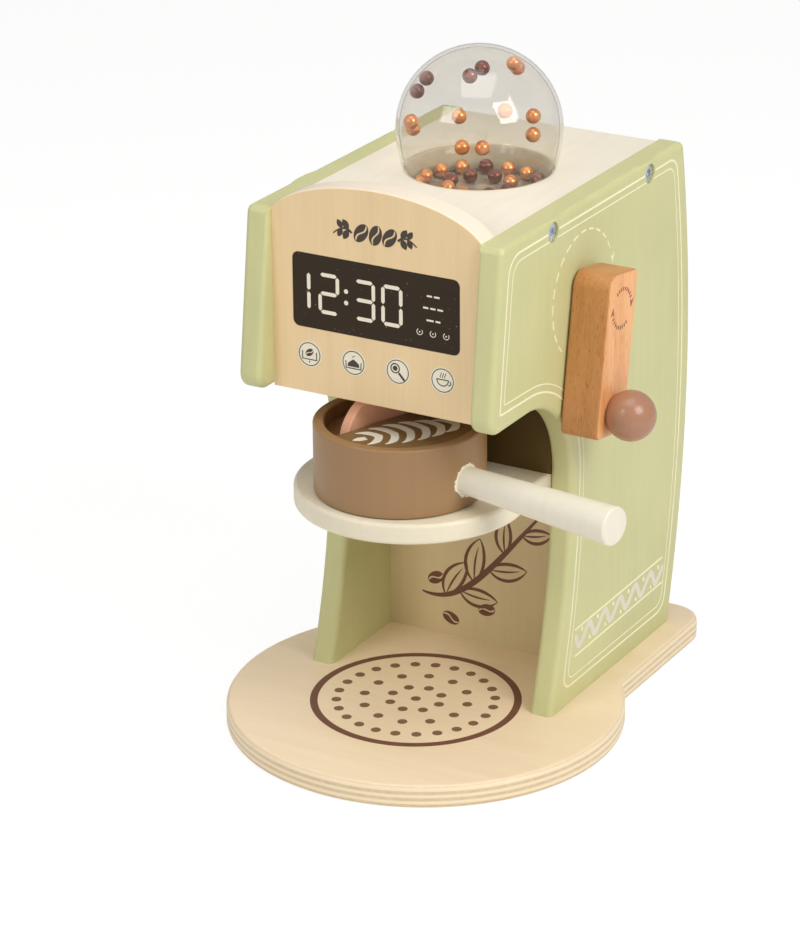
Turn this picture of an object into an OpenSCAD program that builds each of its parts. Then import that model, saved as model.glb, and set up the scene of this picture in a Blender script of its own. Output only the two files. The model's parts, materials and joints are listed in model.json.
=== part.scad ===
// Toy coffee maker: plywood housing, hand crank that drums beads in a clear dome,
// and a portafilter with a coin-shaped token that pulls out over a drip plate.
// Millimetres. X to the right, Y to the back, Z up. The origin is on the table,
// below the centre of the printed drip ring.

/* [Boards] */
// Thickness of the painted plywood boards
board_t = 12.5; // [10:0.5:14]
// Clear width between the two side panels
inner_w = 113.5; // [108:0.5:120]
// Thickness of the picture panel behind the cup bay
picture_t = 6; // [4:0.5:9]
// Thickness of the thin floor of the head
floor_t = 3; // [2:0.5:4]

/* [Base] */
// Thickness of the base board
base_t = 12; // [10:0.5:16]
// Radius of the round front of the base
base_r = 100; // [96:0.5:110]
// Distance of the base disc's centre to the right of the drip ring's centre
base_disc_x = 2; // [0:0.5:3]
// Distance of the base disc's centre behind the drip ring's centre
base_disc_y = 6.5; // [0:0.5:8]
// Width of the base behind its disc
base_rear_w = 164; // [154:1:172]
// Depth of the base behind the drip ring's centre
base_rear_y = 167; // [162:1:175]
// Radius of the two rear corners of the base
base_corner_r = 17; // [10:1:30]

/* [Side panels] */
// Height of the side panels above the base
panel_h = 260; // [255:1:265]
// Height of the head, from its underside to the top of the side panels
head_h = 90; // [86:0.5:92]
// Front edge of the head at its top, ahead of the drip ring's centre
head_top_y = 38.5; // [36.5:0.5:41]
// Front edge of the head at its underside, ahead of the drip ring's centre
head_low_y = 50; // [46:0.5:53]
// Radius of the arch under the head
arch_r = 46; // [42:1:50]
// Front edge of the column at its narrowest, behind the drip ring's centre
waist_y = 33.5; // [32:0.5:36]
// Front edge of the column at the base, behind the drip ring's centre
foot_y = 13; // [10:0.5:17]
// Rear edge of the panels at the base
back_low_y = 146; // [144:0.5:148]
// Rear edge of the panels at the top
back_top_y = 151.5; // [148:0.5:153]
// Swell of the rear edge between its two ends
back_swell = 14.5; // [10:0.5:15]
// Radius of the head's lower front corner
corner_low_r = 8; // [4:0.5:10]
// Radius of the head's upper front corner
corner_top_r = 4; // [3:0.5:6]
// Radius of the upper rear corner
corner_back_r = 4; // [3:0.5:12]

/* [Front and rear] */
// Front face of the arched front panel, ahead of the drip ring's centre
front_y = 36; // [34:0.5:36]
// Height of the front panel's crown above the side panels
crown_h = 16.5; // [12:0.5:20]
// Reach of the crown's ellipse beyond each side of the front panel
crown_over = 3.25; // [3:0.25:18]
// Front face of the inner wall, behind the column's narrowest front edge
wall_setback = 1; // [0.5:0.5:3]
// Front face of the picture panel behind the drip ring's centre
picture_y = 74; // [70:0.5:80]
// Distance of the rear panel's outer face ahead of the panels' rear foot
rear_inset = 1; // [1:0.5:6]
// Side length of the square glue blocks behind the rear corners
block_w = 16; // [12:0.5:20]

/* [Shelf] */
// Thickness of the shelf
shelf_t = 10.5; // [10:0.5:13]
// Gap between the shelf's neck and each side panel
shelf_gap = 1; // [0.5:0.5:3]
// Reach of the shelf's round nose beyond the inner face of each side panel
nose_over = 0.75; // [0.25:0.25:3.25]
// Front of the shelf's round nose, ahead of the drip ring's centre
shelf_nose_y = 60.5; // [60:0.5:62]

/* [Portafilter] */
// Outer radius of the wooden cup
cup_r = 42; // [40:0.5:43]
// Height of the cup
cup_h = 35; // [33:0.5:35]
// Centre of the cup, ahead of the drip ring's centre
cup_y = 14; // [13:0.5:14]
// Thickness of the cup's rim
rim_w = 5.5; // [4:0.5:7]
// Depth of the round recess in the cup
recess_d = 7.5; // [6:0.5:9]
// Step of the filling board below the cup's rim
filling_step = 0.5; // [0.3:0.1:1]
// Distance of the filling board's straight edge from the cup's centre
filling_edge = 4; // [3.5:0.5:6]
// Diameter of the tapered handle at its free end
handle_d = 19; // [16:0.5:20]
// Diameter of the tapered handle at the cup
handle_root_d = 13.4; // [12:0.2:15]
// Visible length of the handle
handle_len = 88; // [80:1:96]
// Angle of the handle ahead of the cup's right-hand side
handle_angle = 10.4; // [8:0.2:16]
// Height of the handle's axis above the cup's underside
handle_h = 14; // [13:0.5:18]
// Diameter of the handle's tenon
tenon_d = 10; // [8:0.5:12]
// Length of the handle's tenon
tenon_len = 13; // [10:0.5:14]

/* [Token] */
// Diameter of the coin-shaped token
token_d = 46; // [44:0.5:46]
// Thickness of the token
token_t = 6; // [5:0.5:7]
// Gap between the token's top and the underside of the head
token_clear = 0.5; // [0.4:0.1:1.5]
// Wood left below the token's slot
slot_floor = 2.9; // [2:0.1:4]
// Angle of the token's slot from the X direction
slot_angle = 70; // [65:1:75]
// Distance of the token's middle plane from the cup's centre
token_side = 8.5; // [8:0.5:10]
// Distance of the token's centre along the slot towards the front
token_along = 6; // [4:0.5:8]

/* [Crank] */
// Crank axis behind the drip ring's centre
crank_y = 42; // [40:0.5:45]
// Height of the crank axis above the head's underside
crank_h = 40; // [36:0.5:42]
// Width of the crank arm
arm_w = 29.5; // [26:0.5:31]
// Thickness of the crank arm
arm_t = 20; // [18:0.5:22]
// Length of the crank arm
arm_len = 80.5; // [80:0.5:86]
// Distance of the crank axis from the arm's upper end
arm_head = 17.5; // [16:0.5:22]
// Radius of the arm's upper front corner
arm_corner_r = 8; // [4:0.5:9]
// Radius of the arm's three other corners
arm_edge_r = 3; // [2:0.5:6]
// Distance of the knob's axis from the crank axis
knob_offset = 51; // [49:0.5:53]
// Lean of the crank arm at rest, lower end to the front
arm_tilt = 9; // [0:0.5:12]
// Gap between the crank arm and the side panel
arm_gap = 1; // [0.8:0.1:2.5]
// Diameter of the crank's wooden axle
axle_d = 12; // [10:0.5:14]
// Depth of the axle's socket in the crank arm
arm_socket = 12; // [10:0.5:14]
// Depth of the axle's blind bore in the left side panel
axle_depth = 6; // [4:0.5:8]
// Diameter of the ball knob
knob_d = 25; // [22:0.5:28]
// Distance of the knob's flat from the ball's centre
knob_flat = 9.3; // [8:0.1:10]
// Gap between the knob's flat and the crank arm
knob_gap = 0.3; // [0.3:0.1:0.5]
// Diameter of the knob screw's shank
knob_screw_d = 4; // [3:0.5:5]
// Diameter of the knob screw's head
knob_head_d = 8; // [7:0.5:10]
// Thickness of the knob screw's head
knob_head_t = 2.8; // [2:0.2:4]
// Wood of the crank arm between the knob screw's head and the knob
knob_seat = 14; // [12:0.5:15]
// Depth of the knob screw in the ball
knob_thread = 10; // [8:0.5:12]

/* [Drum] */
// Diameter of the drumming hub on the axle
hub_d = 30; // [26:0.5:34]
// Length of the drumming hub along the axle
hub_len = 26; // [20:1:32]
// Number of drumming pegs
peg_count = 4; // [3:1:6]
// Diameter of the drumming pegs
peg_d = 7; // [5:0.5:8]
// Wood of the hub left between the axle and a peg's end
peg_seat = 2; // [1:0.5:4]
// Gap between a passing peg and the bead tray
peg_gap = 0.5; // [0.4:0.1:0.8]
// Outer diameter of the retaining collar on the axle
collar_d = 24; // [20:0.5:28]
// Length of the retaining collar
collar_len = 10; // [8:0.5:12]
// Diameter of the steel pin through collar and axle
pin_d = 4; // [3:0.5:5]

/* [Dome and beads] */
// Outer radius of the clear dome
dome_r = 40.8; // [38:0.2:42]
// Wall of the clear dome
dome_wall = 2; // [1.6:0.1:2.4]
// Centre of the dome behind the drip ring's centre
dome_y = 65.4; // [64:0.2:68]
// Height of the dome's centre above the top board
dome_rise = 20; // [18:0.5:22]
// Radius of the round hole in the top board
pit_r = 36.5; // [34:0.5:36.5]
// Width of the dome's foot on the board around the hole
dome_seat = 1; // [0.6:0.1:1.2]
// Depth of the bead tray's floor below the top board's surface
pit_depth = 13; // [12.5:0.1:13.2]
// Thickness of the bead tray's floor
tray_t = 1.5; // [1.2:0.1:2]
// Width of the bead tray's fixing flange
flange_w = 9; // [8:0.5:10]
// Diameter of the metal-look beads
bead_d = 7.5; // [6.5:0.1:8]
// Number of beads in the ring that lies on the tray
bead_ring = 16; // [10:2:18]
// Radius of the inner ring of half as many beads
bead_inner_r = 16; // [12:0.5:18]

/* [Fastenings] */
// Head diameter of the cap screws in the side panels
cap_d = 9.5; // [8:0.1:10.5]
// Distance of the front cap screws behind the drip ring's centre
cap_front_y = 11; // [9:0.5:15]
// Distance of the rear cap screws behind the drip ring's centre
cap_rear_y = 113; // [107:0.5:117]
// Depth of a cap screw's counterbore
cap_sink = 4; // [3:0.5:5]
// Gap around a cap screw's head
cap_room = 0.25; // [0.1:0.05:0.5]
// Thickness of a cap screw's head
cap_head_t = 3; // [2:0.5:3]
// Diameter of the hexagon socket in a cap screw's head
cap_socket_d = 4.8; // [4:0.1:6]
// Length of a cap screw's shank
cap_len = 24; // [20:1:30]
// Diameter of a cap screw's shank
cap_shank_d = 4; // [3.5:0.5:5]
// Diameter of the wooden dowels
dowel_d = 8; // [6:0.5:8]
// Length of the wooden dowels
dowel_len = 18; // [14:0.5:18]
// Diameter of the countersunk wood screws' heads
wood_head_d = 7; // [6:0.5:8]
// Diameter of the countersunk wood screws' shanks
wood_shank_d = 3.5; // [3:0.5:4]
// Length of the countersunk wood screws
wood_len = 28; // [24:1:32]
// Length of the short screws of the bead tray
tray_screw_len = 9; // [7:0.5:10]
// Head diameter of the short screws of the bead tray
tray_head_d = 5.6; // [5:0.1:6.4]
// Distance between the two base screws under each side panel
base_screw_pitch = 60; // [40:1:80]

/* [Fit] */
// Gap between a moving piece and what it rests on
rest_gap = 0.3; // [0.3:0.05:0.5]
// Radial clearance of a turning shaft in its bore
run_gap = 0.08; // [0.05:0.01:0.1]
// Gap between the token and each wall of its slot
slot_gap = 0.35; // [0.3:0.05:0.5]

/* [Hidden] */

round_fn = 96;
wide_fn = 360;
small_fn = 32;
eps = 0.01;

// Heights above the table
deck_z = base_t;
top_z = deck_z + panel_h;
head_z = top_z - head_h;
shelf_top_z = head_z - token_clear - token_d - slot_floor - rest_gap;
shelf_z = shelf_top_z - shelf_t;
crank_z = head_z + crank_h;
floor_lift = 1.5;
floor_z = head_z + floor_lift;
under_top_z = top_z - board_t;

// Places across the width
half_in = inner_w / 2;
half_out = half_in + board_t;

// Depths of the inner pieces
front_back_y = board_t - front_y;
wall_y = waist_y + wall_setback;
wall_back_y = wall_y + board_t;
rear_y = back_low_y - rear_inset;
rear_front_y = rear_y - board_t;
shelf_back_y = picture_y + picture_t;
neck_w = inner_w - 2 * shelf_gap;
nose_r = half_in + nose_over;
nose_y = nose_r - shelf_nose_y;
column_y = (waist_y + back_low_y) / 2;

// Portafilter
cup_z = shelf_top_z + rest_gap;
cup_top_z = cup_z + cup_h;
recess_z = cup_top_z - recess_d;
recess_r = cup_r - rim_w;
handle_z = cup_z + handle_h;
token_z = head_z - token_clear - token_d / 2;
slot_r = token_d / 2 + slot_gap;

// Crank
arm_x = half_out + arm_gap;
arm_face_x = arm_x + arm_t;
washer_t = arm_gap - rest_gap;
axle_bore_r = axle_d / 2 + run_gap;
collar_x = half_in - rest_gap - collar_len;
knob_x = arm_face_x + knob_gap + knob_flat;
knob_bore_r = knob_screw_d / 2 + run_gap;
knob_head_x = arm_face_x - knob_seat - rest_gap - knob_head_t;

// Dome and tray
dome_z = top_z + dome_rise;
neck_r = pit_r - rest_gap;
foot_r = pit_r + dome_seat;
tray_top_z = top_z - pit_depth;
tray_z = tray_top_z - tray_t;
flange_r = pit_r + flange_w;
drum_r = min(tray_z - crank_z, crank_z - floor_z - floor_t) - peg_gap;
tray_screw_r = pit_r + flange_w / 2;
peg_root = axle_d / 2 + peg_seat;

// A fillet's points on a corner of an outline, from leg a to leg b
function unit(v) = v / norm(v);
function fillet(a, c, b, r, steps) =
  let(
    u = unit(a - c),
    v = unit(b - c),
    half = acos(u * v) / 2,
    centre = c + unit(u + v) * r / sin(half),
    from = c + u * r / tan(half) - centre,
    to = c + v * r / tan(half) - centre,
    start = atan2(from.y, from.x),
    turn = atan2(from.x * to.y - from.y * to.x, from * to)
  )
  [for (i = [0 : steps]) centre + r * [cos(start + turn * i / steps), sin(start + turn * i / steps)]];

// A flat piece drawn in Y and Z, as thick as t towards +X from x
module across(x, t) {
  translate([x, 0, 0]) rotate([90, 0, 90]) linear_extrude(t) children();
}

// A flat piece drawn in X and Z, as thick as t towards +Y from y
module upright(y, t) {
  translate([0, y + t, 0]) rotate([90, 0, 0]) linear_extrude(t) children();
}

// A board lying flat, as thick as t upwards from z
module flat(z, t) {
  translate([0, 0, z]) linear_extrude(t) children();
}

// A rod along X, from x to x + len
module rod_x(x, y, z, r, len) {
  translate([x, y, z]) rotate([0, 90, 0]) cylinder(r = r, h = len, $fn = round_fn);
}

// Screw standing on its point: head on top, tip at the origin
module cap_screw() {
  difference() {
    union() {
      cylinder(d = cap_shank_d, h = cap_len + eps, $fn = small_fn);
      translate([0, 0, cap_len]) cylinder(d = cap_d, h = cap_head_t, $fn = round_fn);
    }
    translate([0, 0, cap_len + cap_head_t / 2]) cylinder(d = cap_socket_d, h = cap_head_t, $fn = 6);
  }
}

module wood_screw(shank_d, len, head_d) {
  head_t = (head_d - shank_d) / 2;
  cylinder(d = shank_d, h = len - head_t + eps, $fn = small_fn);
  translate([0, 0, len - head_t]) cylinder(d1 = shank_d, d2 = head_d, h = head_t, $fn = round_fn);
}

// Room for a wood screw's head and shank, standing like the screw
module wood_screw_room(shank_d, len, head_d) {
  head_t = (head_d - shank_d) / 2;
  cylinder(d = shank_d, h = len + eps, $fn = small_fn);
  translate([0, 0, len - head_t]) cylinder(d1 = shank_d, d2 = head_d, h = head_t, $fn = round_fn);
  translate([0, 0, len - eps]) cylinder(d = head_d, h = rest_gap, $fn = round_fn);
}

// ---- Base ----

base_screw_spots = [
  for (x = [-1, 1], y = [-1, 1]) [x * (half_in + board_t / 2), column_y + y * base_screw_pitch / 2],
  for (x = [-1, 1]) [x * half_in / 2, rear_front_y + board_t / 2]
];

module base_screw_places() {
  for (p = base_screw_spots)
    translate([p.x, p.y, wood_len]) rotate([180, 0, 0]) children();
}

module base_outline() {
  translate([base_disc_x, base_disc_y]) circle(base_r, $fn = wide_fn);
  depth = base_rear_y - base_disc_y;
  translate([0, base_disc_y + depth / 2]) {
    square([base_rear_w - 2 * base_corner_r, depth], center = true);
    translate([0, -base_corner_r / 2]) square([base_rear_w, depth - base_corner_r], center = true);
  }
  for (x = [-1, 1])
    translate([x * (base_rear_w / 2 - base_corner_r), base_rear_y - base_corner_r])
      circle(base_corner_r, $fn = round_fn);
}

module base_board() {
  color([0.93, 0.84, 0.69])
  difference() {
    flat(0, base_t) base_outline();
    base_screw_places() wood_screw_room(wood_shank_d, wood_len, wood_head_d);
  }
}

module base_screws() {
  color([0.72, 0.73, 0.75])
  base_screw_places() wood_screw(wood_shank_d, wood_len, wood_head_d);
}

// ---- Side panels ----

module panel_outline() {
  under_h = panel_h - head_h;
  low_front = [-head_low_y, under_h];
  top_front = [-head_top_y, panel_h];
  top_back = [back_top_y, panel_h];
  far_y = max(back_low_y, back_top_y) + 2 * back_swell;
  back_chord = norm([back_top_y - back_low_y, panel_h]);
  back_r = (back_chord * back_chord / 4 + back_swell * back_swell) / (2 * back_swell);
  back_mid = [(back_low_y + back_top_y) / 2, panel_h / 2];
  back_dir = unit([panel_h, back_low_y - back_top_y]);
  back_centre = back_mid + back_dir * (back_swell - back_r);
  back_spoke = unit(top_back - back_centre);
  // Where the tangent at the upper rear corner reaches far_y
  back_leg = top_back + [back_spoke.y, -back_spoke.x] * (far_y - back_top_y) / back_spoke.y;
  arch_c = [waist_y - arch_r, under_h - arch_r];
  foot_step = waist_y - foot_y;
  column_r = (arch_c.y * arch_c.y + foot_step * foot_step) / (2 * foot_step);
  difference() {
    intersection() {
      polygon(concat(
        [[-head_low_y, 0], [far_y, 0], back_leg],
        fillet(back_leg, top_back, top_front, corner_back_r, 10),
        fillet(top_back, top_front, low_front, corner_top_r, 8),
        fillet(top_front, low_front, [0, under_h], corner_low_r, 10),
        [[arch_c.x, under_h], [arch_c.x, under_h - eps], [-head_low_y, under_h - eps]]
      ));
      translate(back_centre) circle(back_r, $fn = wide_fn);
    }
    translate(arch_c) circle(arch_r, $fn = wide_fn);
    translate([-2 * head_low_y, -eps]) square([arch_c.x + 2 * head_low_y, under_h]);
    intersection() {
      translate([waist_y - column_r, arch_c.y]) circle(column_r, $fn = wide_fn);
      translate([-2 * head_low_y, -eps]) square([2 * head_low_y + waist_y + eps, arch_c.y + eps]);
    }
  }
}

// Cap screws lie along X, with their heads sunk into the outer faces
module cap_screw_places() {
  for (s = [-1, 1], y = [cap_front_y, cap_rear_y])
    translate([s * (half_out - cap_sink - cap_len), y, top_z - board_t / 2])
      rotate([0, s * 90, 0]) children();
}

module cap_screw_room() {
  cylinder(d = cap_shank_d, h = cap_len + eps, $fn = small_fn);
  translate([0, 0, cap_len]) cylinder(d = cap_d + 2 * cap_room, h = cap_sink + eps, $fn = round_fn);
}

// Dowels along X between the side panels and the boards they carry
shelf_dowel_spots = [
  for (y = [wall_back_y + board_t / 2, shelf_back_y - board_t / 2]) [y, shelf_z + shelf_t / 2]
];
front_dowel_spots = [
  for (z = [head_z + board_t, under_top_z - board_t]) [front_back_y - board_t / 2, z]
];

module dowel_places(spots) {
  for (s = [-1, 1], p = spots)
    translate([s * half_in - dowel_len / 2, p.x, p.y]) rotate([0, 90, 0]) children();
}

module dowels(spots) {
  color([0.86, 0.72, 0.52])
  dowel_places(spots) cylinder(d = dowel_d, h = dowel_len, $fn = small_fn);
}

module shelf_dowels() dowels(shelf_dowel_spots);
module front_dowels() dowels(front_dowel_spots);

module side_panel(x) {
  color([0.80, 0.80, 0.60])
  difference() {
    translate([0, 0, deck_z]) across(x, board_t) panel_outline();
    cap_screw_places() cap_screw_room();
    base_screw_places() wood_screw_room(wood_shank_d, wood_len, wood_head_d);
    dowel_places(shelf_dowel_spots) cylinder(d = dowel_d, h = dowel_len, $fn = small_fn);
    dowel_places(front_dowel_spots) cylinder(d = dowel_d, h = dowel_len, $fn = small_fn);
    // The axle passes through the right panel and ends blind in the left one
    rod_x(-half_in - axle_depth - rest_gap, crank_y, crank_z, axle_bore_r, 2 * half_out);
  }
}

module left_side_panel() side_panel(-half_out);
module right_side_panel() side_panel(half_in);

// ---- Housing boards between the side panels ----

module front_panel() {
  crown_half_w = half_in + crown_over;
  end_share = sqrt(1 - half_in * half_in / (crown_half_w * crown_half_w));
  crown_half_h = crown_h / (1 - end_share);
  color([0.91, 0.79, 0.61])
  difference() {
    intersection() {
      upright(-front_y, board_t)
        translate([-half_in, head_z]) square([inner_w, head_h + crown_h]);
      upright(-front_y - eps, board_t + 2 * eps)
        translate([0, top_z + crown_h - crown_half_h]) {
          scale([crown_half_w, crown_half_h]) circle(1, $fn = wide_fn);
          translate([-half_in, -top_z]) square([inner_w, top_z + crown_half_h * end_share]);
        }
    }
    dowel_places(front_dowel_spots) cylinder(d = dowel_d, h = dowel_len, $fn = small_fn);
  }
}

module top_board() {
  color([0.95, 0.92, 0.86])
  difference() {
    flat(under_top_z, board_t)
      translate([-half_in, front_back_y]) square([inner_w, rear_y - front_back_y]);
    translate([0, dome_y, under_top_z - eps]) cylinder(r = pit_r, h = board_t + 2 * eps, $fn = round_fn);
    cap_screw_places() cap_screw_room();
    tray_screw_places() wood_screw_room(wood_shank_d, tray_screw_len, tray_head_d);
  }
}

module head_floor() {
  color([0.88, 0.80, 0.66])
  flat(floor_z, floor_t)
    translate([-half_in, front_back_y]) square([inner_w, rear_front_y - front_back_y]);
}

module inner_wall() {
  color([0.27, 0.20, 0.12])
  flat(shelf_top_z, floor_z - shelf_top_z)
    translate([-half_in, wall_y]) square([inner_w, board_t]);
}

module picture_panel() {
  color([0.95, 0.91, 0.83])
  flat(deck_z, shelf_z - deck_z)
    translate([-half_in, picture_y]) square([inner_w, picture_t]);
}

// The rear panel's screws go into four glue blocks in the corners
rear_block_spots = [
  for (x = [-1, 1], z = [deck_z + block_w, floor_z - block_w])
    [x * (half_in - block_w / 2), z]
];

module rear_screw_places() {
  for (p = rear_block_spots)
    translate([p.x, rear_y - wood_len, p.y]) rotate([-90, 0, 0]) children();
}

module rear_panel() {
  color([0.91, 0.79, 0.61])
  difference() {
    flat(deck_z, under_top_z - deck_z)
      translate([-half_in, rear_front_y]) square([inner_w, board_t]);
    rear_screw_places() wood_screw_room(wood_shank_d, wood_len, wood_head_d);
    base_screw_places() wood_screw_room(wood_shank_d, wood_len, wood_head_d);
  }
}

module glue_blocks() {
  color([0.86, 0.72, 0.52])
  difference() {
    for (p = rear_block_spots)
      translate([p.x - block_w / 2, rear_front_y - block_w, p.y - block_w / 2]) cube(block_w);
    rear_screw_places() wood_screw_room(wood_shank_d, wood_len, wood_head_d);
  }
}

module rear_screws() {
  color([0.72, 0.73, 0.75])
  rear_screw_places() wood_screw(wood_shank_d, wood_len, wood_head_d);
}

module cap_screws() {
  color([0.72, 0.75, 0.78])
  cap_screw_places() cap_screw();
}

module shelf() {
  color([0.93, 0.90, 0.82])
  difference() {
    flat(shelf_z, shelf_t) {
      translate([0, nose_y]) circle(nose_r, $fn = wide_fn);
      translate([-neck_w / 2, nose_y]) square([neck_w, wall_y - nose_y]);
      translate([-half_in, wall_y]) square([inner_w, shelf_back_y - wall_y]);
    }
    dowel_places(shelf_dowel_spots) cylinder(d = dowel_d, h = dowel_len, $fn = small_fn);
  }
}

// ---- Dome, tray and beads ----

module dome() {
  inner_r = dome_r - dome_wall;
  neck_in_r = neck_r - dome_wall;
  foot_angle = -acos(foot_r / dome_r);
  in_foot_angle = -acos(neck_in_r / inner_r);
  // The upper half is round, the lower half is drawn out to meet its wide foot
  low_h = -dome_rise / sin(foot_angle);
  in_low_h = low_h - dome_wall;
  steps = 24;
  profile = concat(
    [[neck_r, -dome_rise - board_t], [neck_r, -dome_rise]],
    [for (i = [0 : steps - 1]) let(a = foot_angle * (1 - i / steps)) [dome_r * cos(a), low_h * sin(a)]],
    [for (i = [0 : steps]) let(a = 90 * i / steps) dome_r * [cos(a), sin(a)]],
    [for (i = [0 : steps]) let(a = 90 * (1 - i / steps)) inner_r * [cos(a), sin(a)]],
    [for (i = [1 : steps]) let(a = in_foot_angle * i / steps) [inner_r * cos(a), in_low_h * sin(a)]],
    [[neck_in_r, -dome_rise - board_t]]
  );
  color([0.85, 0.88, 0.88, 0.4])
  translate([0, dome_y, dome_z]) rotate_extrude($fn = round_fn) polygon(profile);
}

module tray_screw_places() {
  for (a = [45 : 90 : 315])
    translate([tray_screw_r * cos(a), dome_y + tray_screw_r * sin(a), tray_z + tray_screw_len])
      rotate([180, 0, 0]) children();
}

module bead_tray() {
  color([0.55, 0.53, 0.50])
  difference() {
    translate([0, dome_y, tray_z]) cylinder(r = flange_r, h = under_top_z - tray_z, $fn = round_fn);
    translate([0, dome_y, tray_top_z]) cylinder(r = neck_r - dome_wall, h = board_t, $fn = round_fn);
    tray_screw_places() wood_screw_room(wood_shank_d, tray_screw_len, tray_head_d);
  }
}

module tray_screws() {
  color([0.72, 0.73, 0.75])
  tray_screw_places() wood_screw(wood_shank_d, tray_screw_len, tray_head_d);
}

// Directions of the beads caught in mid-hop against the dome, as [turn, rise] in degrees
hop_angle = [
  [-165, 41], [-160, 29], [-77, 61], [-55, 71], [55, 58], [68, 47], [-134, 10],
  [-172, -7], [-79, 25], [-38, 29], [-10, 20], [-14, 6], [-75, 1], [-59, 1]
];

module beads() {
  hop_r = dome_r - dome_wall - bead_d / 2;
  lie_r = neck_r - dome_wall - bead_d / 2 - rest_gap;
  inner_ring = bead_ring / 2;
  color([0.62, 0.30, 0.15])
  translate([0, dome_y, 0]) {
    for (h = hop_angle)
      translate([hop_r * cos(h.y) * cos(h.x), hop_r * cos(h.y) * sin(h.x), dome_z + hop_r * sin(h.y)])
        sphere(d = bead_d, $fn = small_fn);
    for (i = [0 : bead_ring - 1])
      rotate(360 * i / bead_ring) translate([lie_r, 0, tray_top_z + bead_d / 2])
        sphere(d = bead_d, $fn = small_fn);
    for (i = [0 : inner_ring - 1])
      rotate(360 * i / inner_ring) translate([bead_inner_r, 0, tray_top_z + bead_d / 2])
        sphere(d = bead_d, $fn = small_fn);
  }
}

// ---- Portafilter ----

// Children drawn about the cup's axis, at its underside
module at_cup() translate([0, -cup_y, cup_z]) children();

// Children drawn with +X across the slot and +Y along it
module along_slot() rotate(slot_angle - 90) children();

module handle_place() {
  translate([0, 0, handle_h]) rotate([0, 0, -handle_angle]) rotate([0, 90, 0]) children();
}

module cup() {
  color([0.62, 0.49, 0.34])
  at_cup() difference() {
    cylinder(r = cup_r, h = cup_h, $fn = wide_fn);
    translate([0, 0, cup_h - recess_d]) cylinder(r = recess_r, h = recess_d + eps, $fn = round_fn);
    along_slot() translate([-token_side - token_t / 2 - slot_gap, -token_along, token_z - cup_z])
      rotate([0, 90, 0]) cylinder(r = slot_r, h = token_t + 2 * slot_gap, $fn = round_fn);
    handle_place() translate([0, 0, cup_r - tenon_len]) cylinder(d = tenon_d, h = cup_r, $fn = round_fn);
  }
}

module cup_handle() {
  color([0.93, 0.90, 0.84])
  at_cup() {
    difference() {
      handle_place() translate([0, 0, cup_r - handle_root_d / 2])
        cylinder(d1 = handle_root_d, d2 = handle_d, h = handle_len + handle_root_d / 2, $fn = round_fn);
      translate([0, 0, -eps]) cylinder(r = cup_r, h = cup_h, $fn = wide_fn);
    }
    handle_place() translate([0, 0, cup_r - tenon_len])
      cylinder(d = tenon_d, h = tenon_len + eps, $fn = round_fn);
  }
}

module cup_filling() {
  color([0.62, 0.47, 0.31])
  at_cup() translate([0, 0, cup_h - recess_d]) linear_extrude(recess_d - filling_step)
    intersection() {
      circle(recess_r, $fn = round_fn);
      along_slot() translate([-filling_edge, -cup_r]) square([2 * cup_r, 2 * cup_r]);
    }
}

module token() {
  color([0.91, 0.66, 0.53])
  at_cup() along_slot() translate([-token_side - token_t / 2, -token_along, token_z - cup_z])
    rotate([0, 90, 0]) cylinder(d = token_d, h = token_t, $fn = round_fn);
}

// ---- Crank ----

// Children drawn upright at the crank axis, then leaned to the rest position
module at_crank() translate([0, crank_y, crank_z]) rotate([-arm_tilt, 0, 0]) children();

module arm_outline() {
  low_front = [-arm_w / 2, arm_head - arm_len];
  top_front = [-arm_w / 2, arm_head];
  top_back = [arm_w / 2, arm_head];
  low_back = [arm_w / 2, arm_head - arm_len];
  polygon(concat(
    fillet(low_front, top_front, top_back, arm_corner_r, 10),
    fillet(top_front, top_back, low_back, arm_edge_r, 6),
    fillet(top_back, low_back, low_front, arm_edge_r, 6),
    fillet(low_back, low_front, top_front, arm_edge_r, 6)
  ));
}

module crank_arm() {
  color([0.80, 0.57, 0.36])
  at_crank() difference() {
    across(arm_x, arm_t) arm_outline();
    rod_x(arm_x - eps, 0, 0, axle_d / 2, arm_socket + eps);
    rod_x(arm_x - eps, 0, -knob_offset, knob_bore_r, arm_t + 2 * eps);
    rod_x(arm_x - eps, 0, -knob_offset, knob_head_d / 2 + rest_gap, arm_t - knob_seat + eps);
  }
}

module crank_axle() {
  start_x = -half_in - axle_depth;
  color([0.86, 0.72, 0.52])
  difference() {
    rod_x(start_x, crank_y, crank_z, axle_d / 2, arm_x + arm_socket - start_x);
    collar_pin_shape();
  }
}

module crank_washer() {
  color([0.94, 0.93, 0.90])
  difference() {
    rod_x(arm_x - washer_t, crank_y, crank_z, axle_d, washer_t);
    rod_x(arm_x - washer_t - eps, crank_y, crank_z, axle_d / 2, washer_t + 2 * eps);
  }
}

module axle_collar() {
  color([0.86, 0.72, 0.52])
  difference() {
    rod_x(collar_x, crank_y, crank_z, collar_d / 2, collar_len);
    rod_x(collar_x - eps, crank_y, crank_z, axle_d / 2, collar_len + 2 * eps);
    collar_pin_shape();
  }
}

module collar_pin_shape() {
  translate([collar_x + collar_len / 2, crank_y, crank_z - collar_d / 2])
    cylinder(d = pin_d, h = collar_d, $fn = small_fn);
}

module collar_pin() {
  color([0.72, 0.73, 0.75])
  collar_pin_shape();
}

module peg_places() {
  for (i = [0 : peg_count - 1])
    translate([0, crank_y, crank_z]) rotate([360 * i / peg_count, 0, 0]) children();
}

module drum_hub() {
  color([0.86, 0.72, 0.52])
  difference() {
    rod_x(-hub_len / 2, crank_y, crank_z, hub_d / 2, hub_len);
    rod_x(-hub_len / 2 - eps, crank_y, crank_z, axle_d / 2, hub_len + 2 * eps);
    peg_places() translate([0, 0, peg_root]) cylinder(d = peg_d, h = hub_d, $fn = small_fn);
  }
}

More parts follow.
